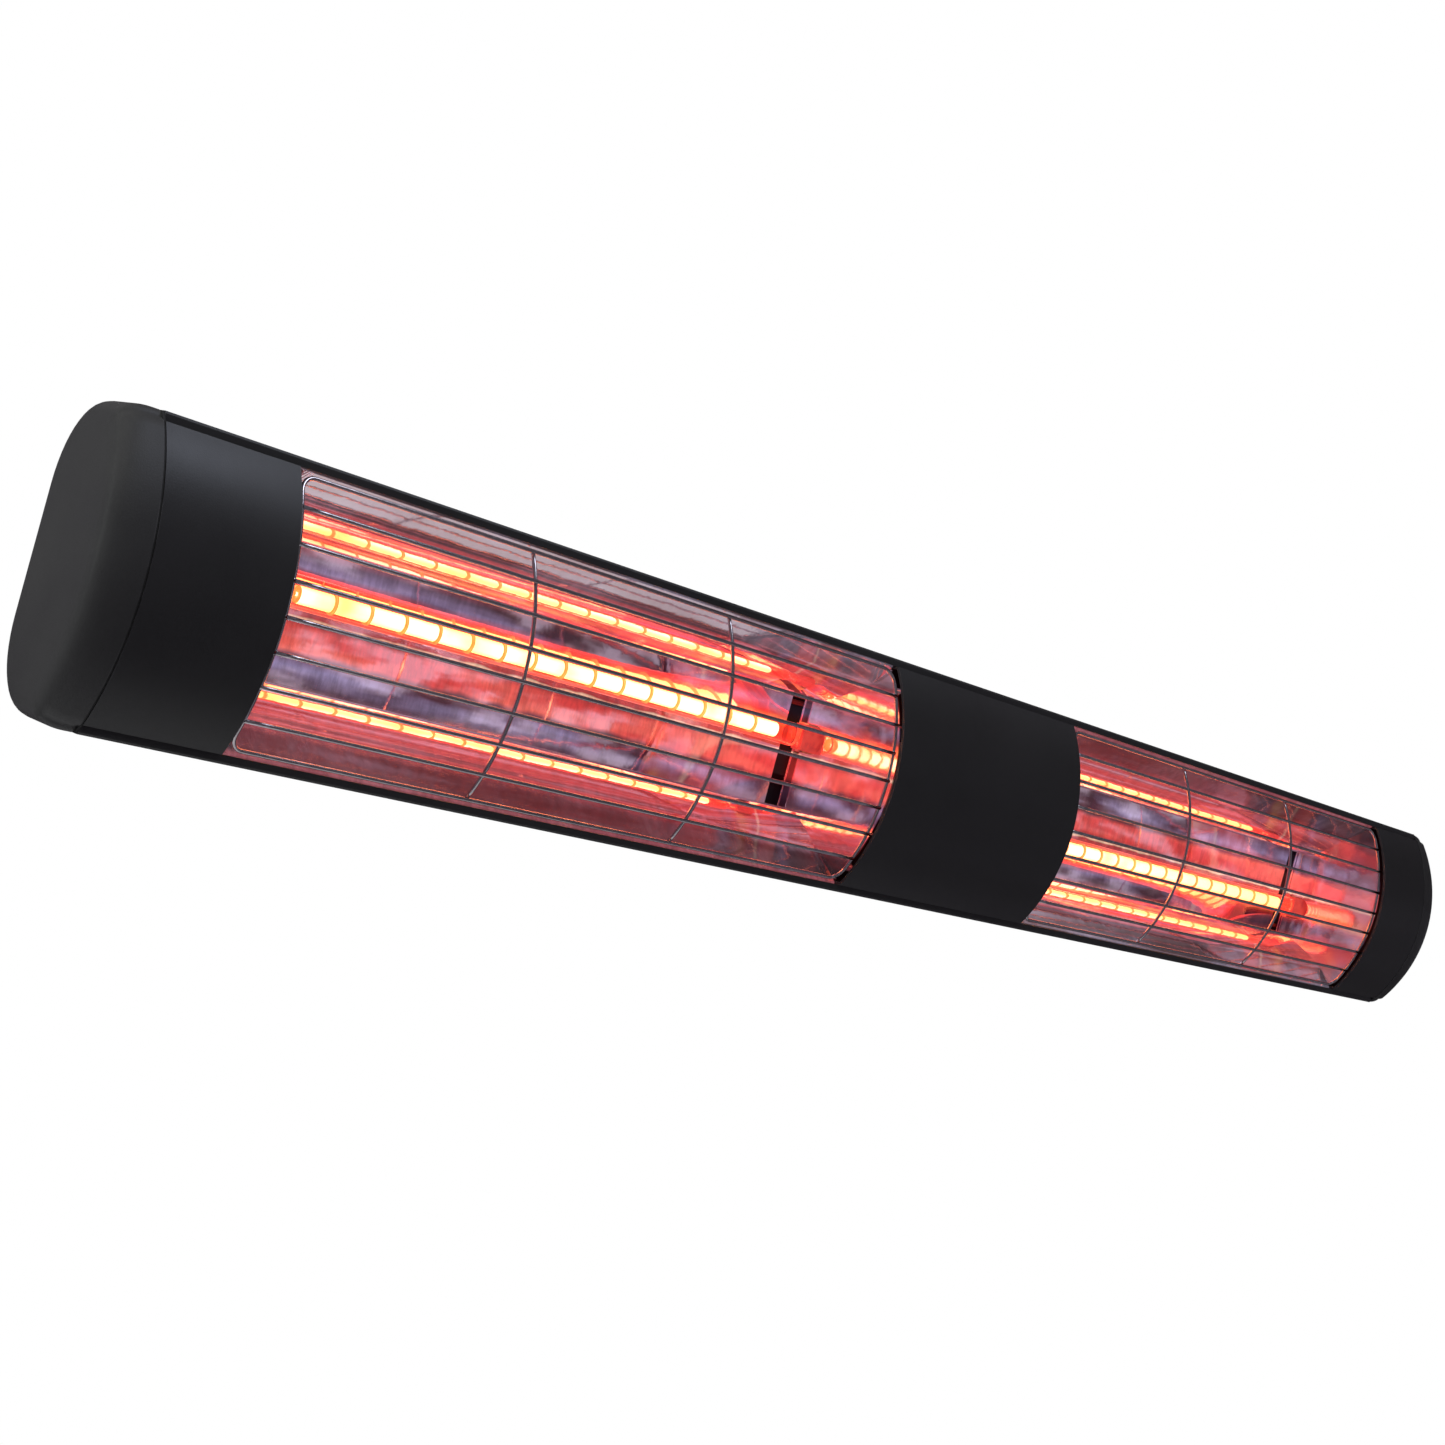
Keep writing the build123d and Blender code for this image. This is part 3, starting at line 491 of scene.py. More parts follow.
glow.links.new(glow_in.outputs["Stroke Scale"], glow_strokes.inputs["Scale"])
glow_cut = add(glow, "MapRange", from_min=0.38, from_max=0.62)
glow.links.new(glow_strokes.outputs["Fac"], glow_cut.inputs["Value"])
glow_dark = add_math(glow, "SUBTRACT", 1.0, glow_cut.outputs["Result"])
glow_dark = add_math(glow, "MULTIPLY", glow_dark, glow_in.outputs["Stroke Depth"])
glow_light = add_math(glow, "SUBTRACT", 1.0, glow_dark)
glow_scale = glow.nodes.new("ShaderNodeVectorMath")
glow_scale.operation = "SCALE"
glow.links.new(glow_bands, glow_scale.inputs[0])
glow.links.new(glow_light, glow_scale.inputs["Scale"])
glow.links.new(glow_scale.outputs["Vector"], glow_out.inputs["Colour"])
# Painted shade towards the lips of the trough.
glow_lip = add(glow, "MapRange", from_min=0.085, from_max=0.125, to_min=0.78, to_max=0.0)
glow.links.new(glow_range.outputs["Result"], glow_lip.inputs["Value"])
glow.links.new(glow_lip.outputs["Result"], glow_out.inputs["Shade"])


def bright_sheet(name, rough, wave_height, stroke_depth, strength):
    """Polished aluminium that shows the lamp in slightly rippled lines; the lamp's red light, painted
    reflections and painted shade near the lips are painted on as colour and emission.
    """
    made = bpy.data.materials.new(name)
    made.use_nodes = True
    tree = made.node_tree
    shader = tree.nodes["Principled BSDF"]
    shader.inputs["Metallic"].default_value = 1.0
    shader.inputs["Emission Strength"].default_value = strength
    skin = place_effect(tree, grain, grain_scale=70.0, patch_scale=30.0)
    painted_light = place_effect(tree, glow, stroke_depth=stroke_depth)
    wear_and_highlight_node = place_effect(tree, wear_and_highlight, width=RUB_AND_HIGHLIGHT_WIDTH)
    colour = add_blend(tree, skin.outputs["Patch"], MIRROR_BRIGHT, MIRROR_DULL)
    # Brighter along edges: partly rubbing, partly a painted highlight.
    colour = add_blend(tree, wear_and_highlight_node.outputs["Mask"], colour, RUBBED_AND_HIGHLIT)
    # Darker near the lips: painted shade.
    colour = add_blend(tree, painted_light.outputs["Shade"], colour, PAINTED_LIP_SHADE)
    tree.links.new(colour, shader.inputs["Base Color"])
    gloss = add(tree, "MapRange", to_min=rough, to_max=rough * 2)
    tree.links.new(skin.outputs["Patch"], gloss.inputs["Value"])
    tree.links.new(gloss.outputs["Result"], shader.inputs["Roughness"])
    bump = add(tree, "Bump", strength=RIPPLE_BITE, distance=wave_height)
    tree.links.new(skin.outputs["Height"], bump.inputs["Height"])
    tree.links.new(bump.outputs["Normal"], shader.inputs["Normal"])
    # Red emission bands: painted lamp light and painted reflections.
    tree.links.new(painted_light.outputs["Colour"], shader.inputs["Emission Color"])
    return made


bright_trough = bright_sheet("bright_trough", rough=0.035, wave_height=0.00012, stroke_depth=0.35,
                             strength=PAINTED_LIGHT_STRENGTH)
for side_name, side_turn in (("left", -1), ("right", 1)):
    trough = smooth_trough("trough_" + side_name, side_turn)
    trough.data.materials.append(bright_trough)
    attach(trough, "heater_head")
    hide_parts("reflector_" + side_name)

# ==== End mirrors =========================================================================
# A plate of the same bright sheet closes each end of a trough. It stands on the floor, leans
# outwards to the front, and has a slot that slips over the lamp.
# They carry the same painted lamp light, weaker, the same pink tint and the same painted shade near the
# lips.
bright_end = bright_sheet("bright_end", rough=0.03, wave_height=0.00008, stroke_depth=0.3,
                          strength=END_PAINTED_LIGHT_STRENGTH)
dress(bright_end, "end_mirror_left_inner", "end_mirror_left_outer",
      "end_mirror_right_inner", "end_mirror_right_outer")

# ==== Lamp coils ==========================================================================
# Each lamp has a row of wound tungsten coils on one straight wire. They run white hot, yellow
# along their rims and dim on their end faces, and look cooler towards the right lamp's end.
COIL_PITCH = 0.00045
LAMP_RISE = 0.011
COIL_STRENGTH = 5.0
COIL_RIM_FROM, COIL_RIM_TO = 0.0022, 0.0042
COIL_METAL = (0.9, 0.8, 0.6, 1)
COIL_ROUGH = 0.5
BETWEEN_TURNS = (0.85, 0.62, 0.30)
WHITE_HOT = (1.0, 0.93, 0.78)
YELLOW_HOT = (1.0, 0.62, 0.16)
COOLER_HOT = (0.62, 0.42, 0.13)
COIL_END = (0.17, 0.09, 0.015)

hot_coil = bpy.data.materials.new("hot_coil")
hot_coil.use_nodes = True
coil_tree = hot_coil.node_tree
coil_shader = coil_tree.nodes["Principled BSDF"]
coil_shader.inputs["Base Color"].default_value = COIL_METAL
coil_shader.inputs["Roughness"].default_value = COIL_ROUGH
coil_shader.inputs["Emission Strength"].default_value = COIL_STRENGTH
coil_place = add(coil_tree, "TexCoord")
coil_axes = add(coil_tree, "SeparateXYZ")
coil_tree.links.new(coil_place.outputs["Object"], coil_axes.inputs["Vector"])
coil_turns = add_math(coil_tree, "MULTIPLY", coil_axes.outputs["X"], 2 * math.pi / COIL_PITCH)
coil_turns = add_math(coil_tree, "SINE", coil_turns)
coil_turns = add_math(coil_tree, "MULTIPLY", coil_turns, 0.5)
coil_turns = add_math(coil_tree, "ADD", coil_turns, 0.5)
coil_side = add_math(coil_tree, "SIGN", coil_axes.outputs["X"])
coil_axis = add_math(coil_tree, "MULTIPLY", coil_side, LAMP_RISE)
coil_off = add_math(coil_tree, "ADD", coil_axes.outputs["Z"], coil_axis)
coil_off = add_math(coil_tree, "ABSOLUTE", coil_off)
coil_rim = add(coil_tree, "MapRange", from_min=COIL_RIM_FROM, from_max=COIL_RIM_TO)
coil_tree.links.new(coil_off, coil_rim.inputs["Value"])
coil_gap = add_blend(coil_tree, coil_turns, BETWEEN_TURNS, WHITE_HOT)
coil_colour = add_blend(coil_tree, coil_rim.outputs["Result"], coil_gap, YELLOW_HOT)
coil_drift = add(coil_tree, "TexNoise", scale=24.0, detail=2.0)
coil_tree.links.new(coil_place.outputs["Object"], coil_drift.inputs["Vector"])
coil_cool = add(coil_tree, "MapRange", from_min=0.48, from_max=0.68)
coil_tree.links.new(coil_drift.outputs["Fac"], coil_cool.inputs["Value"])
coil_older = add(coil_tree, "MapRange", from_min=0.15, from_max=0.45, to_max=0.85)
coil_tree.links.new(coil_axes.outputs["X"], coil_older.inputs["Value"])
coil_cooling = add_math(coil_tree, "MAXIMUM", coil_cool.outputs["Result"], coil_older.outputs["Result"])
coil_colour = add_blend(coil_tree, coil_cooling, coil_colour, COOLER_HOT)
coil_way = add(coil_tree, "SeparateXYZ")
coil_tree.links.new(coil_place.outputs["Normal"], coil_way.inputs["Vector"])
coil_face = add_math(coil_tree, "ABSOLUTE", coil_way.outputs["X"])
coil_colour = add_blend(coil_tree, coil_face, coil_colour, COIL_END)
coil_tree.links.new(coil_colour, coil_shader.inputs["Emission Color"])
coil_bump = add(coil_tree, "Bump", strength=0.8, distance=0.0002)
coil_tree.links.new(coil_turns, coil_bump.inputs["Height"])
coil_tree.links.new(coil_bump.outputs["Normal"], coil_shader.inputs["Normal"])
dress(hot_coil, "filament_left", "filament_right")

# ==== Coil support rings ==================================================================
# Between each two coils a thin tungsten disc holds the wire in the middle of the tube. It
# is shown glowing orange beside the white coils; the glow is painted light of the coils.


def paint_glow(material, patch_scale, colours, strength):
    """Paints light into a finish as a glow, brighter and dimmer in patches."""
    tree = material.node_tree
    shader = tree.nodes["Principled BSDF"]
    painted_light = place_effect(tree, grain, grain_scale=900.0, patch_scale=patch_scale)
    colour = add_blend(tree, painted_light.outputs["Patch"], *colours)
    tree.links.new(colour, shader.inputs["Emission Color"])
    shader.inputs["Emission Strength"].default_value = strength


ring_metal = finish(
    "ring_metal",
    colours=((0.42, 0.30, 0.14), (0.30, 0.20, 0.09)), rough=0.35, swing=0.1, metal=1.0,
    grain_scale=2500.0, patch_scale=90.0, height=0.00002,
    worn_and_highlit=(0.7, 0.5, 0.25), edge=0.0002, film=0.0)
# Orange emission: painted light of the coils.
paint_glow(ring_metal, 300.0, ((0.75, 0.38, 0.08), (0.95, 0.60, 0.18)), 0.9)
dress(ring_metal, "filament_rings_left", "filament_rings_right")

# ==== Quartz tubes ========================================================================
# The coils are sealed in a tube of ruby-tinted quartz, drawn straight and pinched flat at the
# ends. Its red edges are a painted glow, faint where the tube faces the view and strong where it
# is seen edge-on, and the light of the coils goes through it.
TUBE_TINTS = ((1.0, 0.66, 0.52), (1.0, 0.58, 0.45))
PAINTED_TUBE_MIDDLE_GLOW = (0.03, 0.0, 0.0)
PAINTED_TUBE_EDGE_GLOW = (1.0, 0.05, 0.03)
TUBE_PASSES = (1.0, 0.50, 0.40, 1)
QUARTZ_IOR = 1.45
QUARTZ_ROUGH = (0.01, 0.04)

ruby_quartz = bpy.data.materials.new("ruby_quartz")
ruby_quartz.use_nodes = True
quartz_tree = ruby_quartz.node_tree
quartz_shader = quartz_tree.nodes["Principled BSDF"]
quartz_shader.inputs["Transmission Weight"].default_value = 1.0
quartz_shader.inputs["IOR"].default_value = QUARTZ_IOR
quartz_shader.inputs["Emission Strength"].default_value = 1.0
quartz_skin = place_effect(quartz_tree, grain, grain_scale=300.0, patch_scale=120.0)
quartz_colour = add_blend(quartz_tree, quartz_skin.outputs["Patch"], *TUBE_TINTS)
quartz_tree.links.new(quartz_colour, quartz_shader.inputs["Base Color"])
quartz_gloss = add(quartz_tree, "MapRange", to_min=QUARTZ_ROUGH[0], to_max=QUARTZ_ROUGH[1])
quartz_tree.links.new(quartz_skin.outputs["Patch"], quartz_gloss.inputs["Value"])
quartz_tree.links.new(quartz_gloss.outputs["Result"], quartz_shader.inputs["Roughness"])
# Red emission towards the edges: a painted glow.
quartz_edge = add(quartz_tree, "LayerWeight", blend=0.30)
quartz_glow = add_blend(quartz_tree, quartz_edge.outputs["Facing"], PAINTED_TUBE_MIDDLE_GLOW, PAINTED_TUBE_EDGE_GLOW)
quartz_tree.links.new(quartz_glow, quartz_shader.inputs["Emission Color"])
quartz_path = add(quartz_tree, "LightPath")
quartz_clear = add(quartz_tree, "BsdfTransparent", color=TUBE_PASSES)
quartz_mix = add(quartz_tree, "MixShader")
quartz_out = quartz_tree.nodes["Material Output"]
quartz_tree.links.new(quartz_path.outputs["Is Shadow Ray"], quartz_mix.inputs["Fac"])
quartz_tree.links.new(quartz_shader.outputs["BSDF"], quartz_mix.inputs[1])
quartz_tree.links.new(quartz_clear.outputs["BSDF"], quartz_mix.inputs[2])
quartz_tree.links.new(quartz_mix.outputs["Shader"], quartz_out.inputs["Surface"])
dress(ruby_quartz, "lamp_tube_left", "lamp_tube_right")

# ==== Lamp bases ==========================================================================
# A flat block of pressed steatite is cemented over each pinched end of a tube. It is shown
# red and glowing red: both are painted light of the lamp.
hot_steatite = finish(
    "hot_steatite",
    colours=((0.55, 0.16, 0.12), (0.42, 0.10, 0.08)), rough=0.6, swing=0.08, metal=0.0,
    grain_scale=1400.0, patch_scale=90.0, height=0.00008,
    worn_and_highlit=(0.7, 0.25, 0.2), edge=0.0004, film=0.0)
# Red emission: painted lamp light.
paint_glow(hot_steatite, 220.0, ((0.80, 0.05, 0.035), (0.45, 0.015, 0.02)), 0.8)
dress(hot_steatite, "lamp_bases_left", "lamp_bases_right")

# ==== Lamp holders ========================================================================
# Each base lies in a steatite holder that is open to the front, behind the end mirror. The
# terminal block in the middle of the heater is of the same ceramic.
steatite = finish(
    "steatite",
    colours=((0.78, 0.74, 0.66), (0.70, 0.65, 0.56)), rough=0.55, swing=0.08, metal=0.0,
    grain_scale=1400.0, patch_scale=60.0, height=0.00008,
    worn_and_highlit=(0.86, 0.83, 0.76), edge=0.0004, film=0.08)
dress(steatite, "lamp_holder_left_inner", "lamp_holder_left_outer", "lamp_holder_right_inner",
      "lamp_holder_right_outer", "terminal_block")

# ==== Holder feet =========================================================================
# Pressed steel feet, zinc plated, carry the holders. One screw through each foot and the
# floor of the trough goes into the wall of the T-slot.
zinc_plate = finish(
    "zinc_plate",
    colours=((0.62, 0.62, 0.60), (0.52, 0.53, 0.55)), rough=0.30, swing=0.08, metal=1.0,
    grain_scale=1800.0, patch_scale=130.0, height=0.00003,
    worn_and_highlit=(0.78, 0.78, 0.77), edge=0.0003, film=0.10)
dress(zinc_plate, "holder_foot_left_inner", "holder_foot_left_outer", "holder_foot_right_inner",
      "holder_foot_right_outer", "holder_screws")

# ==== Wire guards =========================================================================
# Each opening is crossed by a cage of 2 mm chromed steel wire. Seven long wires are spot
# welded onto a loop and two cross wires, and four ends tuck in behind the covers.
WIRE_RADIUS = 0.001
WIRE_SIDES = 12
BOW_CENTRE = -0.0358
BOW_OUTER = 0.1026
BOW_INNER = 0.1011
GUARD_MIDDLE = 0.272
GUARD_HALF = 0.1883
GUARD_HEIGHT = 0.058
CORNER = 0.007
CORNER_STEPS = 8
LONG_WIRES = (0.045, 0.030, 0.015, 0.0, -0.015, -0.030, -0.045)
TUCKED = 0.030
TUCK = 0.007
CROSS_WIRES = (-0.0635, 0.0635)
ARC_STEPS = 28
LOOP_REACH = 0.1014
TUCK_SINK = 0.0008
WELD_REACH = 0.1018
WELD_SIZE = Vector((0.0017, 0.0008, 0.0014))


def bow(height, reach):
    """How far forward a wire lies at a height, on the bow of a given radius."""
    return BOW_CENTRE - math.sqrt(reach * reach - height * height)


def lay_wire(form, path, closed):
    """Adds a round wire along the path to the mesh, with domed ends when it is open."""
    count = len(path)
    rings = []
    side = None
    for i, point in enumerate(path):
        after = path[(i + 1) % count] if closed else path[min(i + 1, count - 1)]
        before = path[i - 1] if closed else path[max(i - 1, 0)]
        along = (after - before).normalized()
        if side is None:
            side = along.cross(Vector((0.3, 0.5, 0.81))).normalized()
        side = (side - along * side.dot(along)).normalized()
        other = along.cross(side)
        ring = []
        for k in range(WIRE_SIDES):
            turn = 2 * math.pi * k / WIRE_SIDES
            out = side * math.cos(turn) + other * math.sin(turn)
            ring.append(form.verts.new(point + out * WIRE_RADIUS))
        rings.append(ring)
    last = count if closed else count - 1
    for i in range(last):
        first, second = rings[i], rings[(i + 1) % count]
        shift = 0
        if closed and i == count - 1:
            gaps = [(first[0].co - corner.co).length for corner in second]
            shift = gaps.index(min(gaps))
        for k in range(WIRE_SIDES):
            n = (k + 1) % WIRE_SIDES
            far, far_next = second[(k + shift) % WIRE_SIDES], second[(n + shift) % WIRE_SIDES]
            form.faces.new((first[k], first[n], far_next, far))
    if not closed:
        ends = ((rings[0], path[0] - path[1], True), (rings[-1], path[-1] - path[-2], False))
        for ring, tip, flip in ends:
            middle = sum((v.co for v in ring), Vector()) / WIRE_SIDES
            dome = form.verts.new(middle + tip.normalized() * WIRE_RADIUS * 0.5)
            for k in range(WIRE_SIDES):
                n = (k + 1) % WIRE_SIDES
                corners = (ring[n], ring[k], dome) if flip else (ring[k], ring[n], dome)
                form.faces.new(corners)


def guard_loop(middle):
    """The rounded frame of the cage, bowed like the long wires."""
    flat = []
    half, high = GUARD_HALF - CORNER, GUARD_HEIGHT - CORNER
    for step in range(ARC_STEPS):
        flat.append((-half + 2 * half * step / ARC_STEPS, GUARD_HEIGHT))
    for sx, sz, start in ((1, 1, 90), (1, -1, 0), (-1, -1, -90), (-1, 1, -180)):
        for step in range(CORNER_STEPS + 1):
            turn = math.radians(start - 90 * step / CORNER_STEPS)
            flat.append((sx * half + CORNER * math.cos(turn), sz * high + CORNER * math.sin(turn)))
        for step in range(1, ARC_STEPS):
            share = step / ARC_STEPS
            if (sx, sz) == (1, 1):
                flat.append((GUARD_HALF, high - 2 * high * share))
            elif (sx, sz) == (1, -1):
                flat.append((half - 2 * half * share, -GUARD_HEIGHT))
            elif (sx, sz) == (-1, -1):
                flat.append((-GUARD_HALF, -high + 2 * high * share))
    path = []
    for x, z in flat[:-1]:
        reach = LOOP_REACH + (BOW_OUTER - LOOP_REACH) * (z / GUARD_HEIGHT) ** 2
        path.append(Vector((middle + x, bow(z, reach), z)))
    return path


def weld(form, place):
    """A low rounded lump of weld where two wires cross."""
    made = bmesh.ops.create_icosphere(form, subdivisions=2, radius=1.0)
    for vertex in made["verts"]:
        vertex.co = vertex.co * WELD_SIZE + place


guard_chrome = finish(
    "guard_chrome",
    colours=((0.66, 0.61, 0.63), (0.50, 0.46, 0.49)), rough=0.12, swing=0.05, metal=1.0,
    grain_scale=1600.0, patch_scale=140.0, height=0.00003,
    worn_and_highlit=(0.80, 0.76, 0.77), edge=0.0002, film=0.04)
for side_name, side_sign in (("left", -1), ("right", 1)):
    guard_middle = side_sign * GUARD_MIDDLE
    guard_form = bmesh.new()
    lay_wire(guard_form, guard_loop(guard_middle), True)
    for height in LONG_WIRES:
        reach_x = GUARD_HALF + (TUCK if abs(height) == TUCKED else 0)
        wire_path = []
        for step in range(ARC_STEPS + 1):
            x = -reach_x + 2 * reach_x * step / ARC_STEPS
            sink = TUCK_SINK * max(0.0, (abs(x) - GUARD_HALF) / TUCK)
            wire_path.append(Vector((guard_middle + x, bow(height, BOW_OUTER) + sink, height)))
        lay_wire(guard_form, wire_path, False)
    for across in CROSS_WIRES:
        cross_path = []
        for step in range(ARC_STEPS + 1):
            z = -GUARD_HEIGHT + 2 * GUARD_HEIGHT * step / ARC_STEPS
            cross_path.append(Vector((guard_middle + across, bow(z, BOW_INNER), z)))
        lay_wire(guard_form, cross_path, False)
    for height in LONG_WIRES:
        for across in (-GUARD_HALF, *CROSS_WIRES, GUARD_HALF):
            weld(guard_form, Vector((guard_middle + across, bow(height, WELD_REACH), height)))
    bmesh.ops.recalc_face_normals(guard_form, faces=guard_form.faces)
    wire_guard = smooth_piece("wire_guard_" + side_name, guard_form, None)
    wire_guard.data.materials.append(guard_chrome)
    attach(wire_guard, "heater_head")
    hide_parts("guard_" + side_name)

# ==== Wiring plate and terminals ==========================================================
# A zinc-plated plate in the middle of the body carries the ceramic terminal block with its
# brass screws, and the brass earth stud with its nut.
dress(zinc_plate, "wiring_plate", "plate_screws", "earth_washer")

brass = finish(
    "brass",
    colours=((0.72, 0.52, 0.22), (0.60, 0.41, 0.16)), rough=0.28, swing=0.08, metal=1.0,
    grain_scale=1500.0, patch_scale=150.0, height=0.00003,
    worn_and_highlit=(0.86, 0.68, 0.34), edge=0.0003, film=0.06)
dress(brass, "terminal_screws", "earth_stud", "earth_nut")

# ==== Lamp leads and terminal tubes =======================================================
# Two leads run from each lamp to the terminals, one of them behind the trough. They look like
# red silicone, and the tubes in the terminal block that take them like woven glass fibre.
silicone_red = finish(
    "silicone_red",
    colours=((0.34, 0.05, 0.035), (0.26, 0.04, 0.03)), rough=0.62, swing=0.08, metal=0.0,
    grain_scale=900.0, patch_scale=80.0, height=0.00006,
    worn_and_highlit=(0.40, 0.09, 0.07), edge=0.0004, film=0.15)
dress(silicone_red, "lamp_leads_left", "lamp_leads_right")

glass_sleeve = finish(
    "glass_sleeve",
    colours=((0.72, 0.69, 0.60), (0.60, 0.56, 0.47)), rough=0.75, swing=0.08, metal=0.0,
    grain_scale=2200.0, patch_scale=220.0, height=0.00020,
    worn_and_highlit=(0.78, 0.75, 0.68), edge=0.0004, film=0.12)
dress(glass_sleeve, "terminal_sleeves")

# ==== End caps ============================================================================
# Cast-aluminium caps with rounded edges and a face that slants in towards the wall, coated
# black, close both ends. The right one has a round boss for the cable gland.
CAP_SEAM = 0.525
CAP_FRONT = 0.021
CAP_REAR = 0.011
CAP_STRAIGHT = 0.003
CAP_FULLNESS = 22
CAP_BOW = -0.0214
HALF_HEIGHT = 0.065
BACK_DEPTH = 0.060
BACK_CORNER = 0.034
BOW_DEPTH = 0.0842
BOW_FRONT = 0.1056
FRONT_CORNER = 0.004
CAP_CENTRE = 0.024
CAP_RINGS = (1.0, 0.999, 0.997, 0.994, 0.989, 0.982, 0.972, 0.96,
             0.945, 0.925, 0.9, 0.86, 0.8, 0.6, 0.35, 0.15)
BOW_STEPS = 32
FRONT_STEPS = 6
BACK_STEPS = 12
FRONT_EASE = 0.7
CAP_EDGE_ANGLE = math.radians(50)
GLAND_PLACE = 0.030
BOSS = ((0.532, 0.0165), (0.5385, 0.0162), (0.5440, 0.0152), (0.5455, 0.0144), (0.5460, 0.0132))
BOSS_SIDES = 56

cap_coat = finish(
    "cap_coat",
    colours=((0.024, 0.024, 0.0245), (0.031, 0.031, 0.031)), rough=0.47, swing=0.05, metal=0.0,
    grain_scale=1300.0, patch_scale=16.0, height=0.00008,
    worn_and_highlit=(0.08, 0.08, 0.082), edge=0.0006, film=0.10)


def cap_outline():
    """Depth and height round the body's end: bowed front, flat sides, rounded back corners."""
    points = []
    reach = math.asin((HALF_HEIGHT - FRONT_CORNER) / BOW_FRONT)
    for step in range(BOW_STEPS + 1):
        angle = reach - 2 * reach * step / BOW_STEPS
        points.append((BOW_DEPTH - BOW_FRONT * math.cos(angle), BOW_FRONT * math.sin(angle)))
    last_depth = points[-1][0]
    corner = []
    for step in range(1, FRONT_STEPS + 1):
        angle = math.radians(90 * step / FRONT_STEPS)
        depth = last_depth + FRONT_CORNER * (FRONT_EASE + 1 - math.cos(angle))
        corner.append((depth, HALF_HEIGHT - FRONT_CORNER * (1 - math.sin(angle))))
    lower = [(depth, -height) for depth, height in corner]
    back_z = HALF_HEIGHT - BACK_CORNER
    back = []
    for step in range(BACK_STEPS + 1):
        angle = math.radians(90 * step / BACK_STEPS)
        depth = BACK_DEPTH - BACK_CORNER * (1 - math.sin(angle))
        back.append((depth, back_z + BACK_CORNER * math.cos(angle)))
    lower += [(depth, -height) for depth, height in back]
    upper = [(depth, height) for depth, height in reversed(back)] + list(reversed(corner))
    return points + lower + upper


def gland_boss(form):
    """The round pad on the right cap that the cable gland seats on."""
    rings = []
    for x, radius in BOSS:
        ring = []
        for k in range(BOSS_SIDES):
            turn = 2 * math.pi * k / BOSS_SIDES
            y = RAIL_FRONT + GLAND_PLACE + radius * math.cos(turn)
            ring.append(form.verts.new((x, y, radius * math.sin(turn))))
        rings.append(ring)
    for first, second in zip(rings, rings[1:]):
        for k in range(BOSS_SIDES):
            n = (k + 1) % BOSS_SIDES
            form.faces.new((first[k], first[n], second[n], second[k]))
    form.faces.new(rings[0][::-1])
    form.faces.new(rings[-1])


def cap_reach(depth):
    """How far the face stands out from the seam at a depth: it slants in towards the wall."""
    return CAP_FRONT - (CAP_FRONT - CAP_REAR) * (depth - CAP_BOW) / (BACK_DEPTH - CAP_BOW)


def slanted_cap(name, side):
    """A closed cap: a short straight skirt, a soft edge, and a slanting face."""
    form = bmesh.new()
    line = cap_outline()
    rings = []
    for share, skirt in ((1.0, 0.0), *((share, CAP_STRAIGHT) for share in CAP_RINGS)):
        swell = math.sqrt(max(0.0, 1 - share ** CAP_FULLNESS))
        ring = []
        for depth, height in line:
            d = CAP_CENTRE + (depth - CAP_CENTRE) * share
            out = skirt + (cap_reach(d) - CAP_STRAIGHT) * swell
            ring.append(form.verts.new((side * (CAP_SEAM + out), RAIL_FRONT + d, height * share)))
        rings.append(ring)
    tip = form.verts.new((side * (CAP_SEAM + cap_reach(CAP_CENTRE)), RAIL_FRONT + CAP_CENTRE, 0))
    count = len(line)
    for first, second in zip(rings, rings[1:]):
        for k in range(count):
            n = (k + 1) % count
            form.faces.new((first[k], first[n], second[n], second[k]))
    for k in range(count):
        form.faces.new((rings[-1][k], rings[-1][(k + 1) % count], tip))
    form.faces.new(rings[0][::-1])
    if side > 0:
        gland_boss(form)
    bmesh.ops.recalc_face_normals(form, faces=form.faces)
    return smooth_piece(name, form, CAP_EDGE_ANGLE)


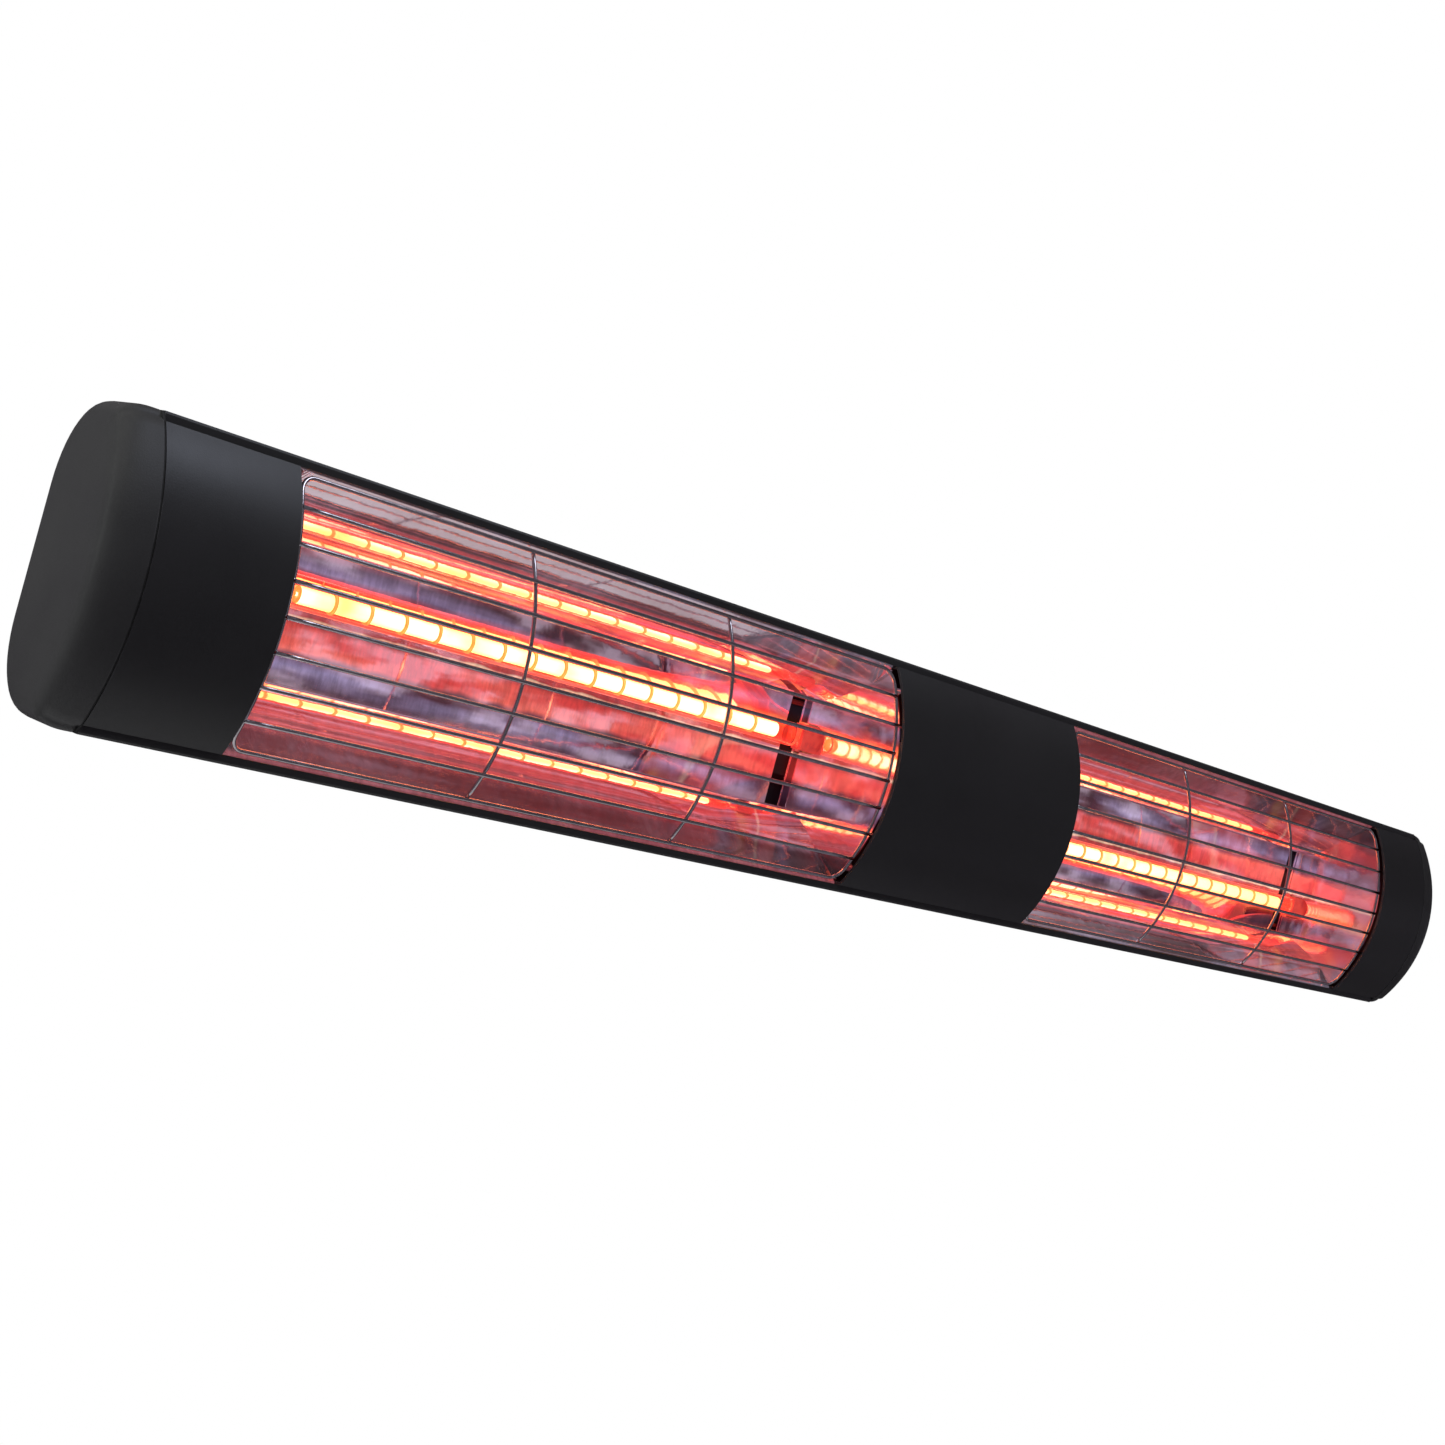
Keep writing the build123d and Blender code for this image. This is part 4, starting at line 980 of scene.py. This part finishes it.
for side_name, side_sign in (("left", -1), ("right", 1)):
    cap = slanted_cap("slanted_cap_" + side_name, side_sign)
    cap.data.materials.append(cap_coat)
    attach(cap, "heater_head")
    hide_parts("end_cap_" + side_name)

# ==== Cap gaskets and cap screws ==========================================================
# A thin black silicone gasket seals each cap to the body, and stainless screws through the
# back of the body hold the caps' tongues.
black_silicone = finish(
    "black_silicone",
    colours=((0.012, 0.012, 0.012), (0.018, 0.018, 0.018)), rough=0.72, swing=0.06, metal=0.0,
    grain_scale=1100.0, patch_scale=60.0, height=0.00006,
    worn_and_highlit=(0.03, 0.03, 0.03), edge=0.0003, film=0.10)
dress(black_silicone, "cap_gasket_left", "cap_gasket_right")

stainless = finish(
    "stainless",
    colours=((0.56, 0.55, 0.53), (0.46, 0.45, 0.44)), rough=0.27, swing=0.07, metal=1.0,
    grain_scale=2000.0, patch_scale=120.0, height=0.00003,
    worn_and_highlit=(0.74, 0.73, 0.71), edge=0.0003, film=0.08)
dress(stainless, "cap_screws")

# ==== Cable gland =========================================================================
# A black nylon gland with its dome nut sits in the right cap for the supply cable. A locknut
# holds it from inside.
black_nylon = finish(
    "black_nylon",
    colours=((0.014, 0.014, 0.015), (0.021, 0.021, 0.022)), rough=0.52, swing=0.07, metal=0.0,
    grain_scale=1700.0, patch_scale=70.0, height=0.00007,
    worn_and_highlit=(0.045, 0.045, 0.047), edge=0.0004, film=0.12)
dress(black_nylon, "gland_body", "gland_dome_nut", "gland_locknut")

# ==== Swivel lugs, wall brackets and pivots ===============================================
# Two black coated brackets go on the wall. A lug on a pair of T-bolts in the back of the
# body hangs from each on one pivot bolt, and the bolt clamps the tilt.
bracket_coat = finish(
    "bracket_coat",
    colours=((0.018, 0.018, 0.019), (0.026, 0.026, 0.027)), rough=0.50, swing=0.06, metal=0.0,
    grain_scale=1200.0, patch_scale=22.0, height=0.00008,
    worn_and_highlit=(0.10, 0.10, 0.105), edge=0.0006, film=0.12)
dress(bracket_coat, "wall_bracket_left", "wall_bracket_right", "swivel_lug_left", "swivel_lug_right")
dress(stainless, "pivot_bolts", "pivot_nuts", "pivot_washers", "t_bolts", "t_bolt_nuts")
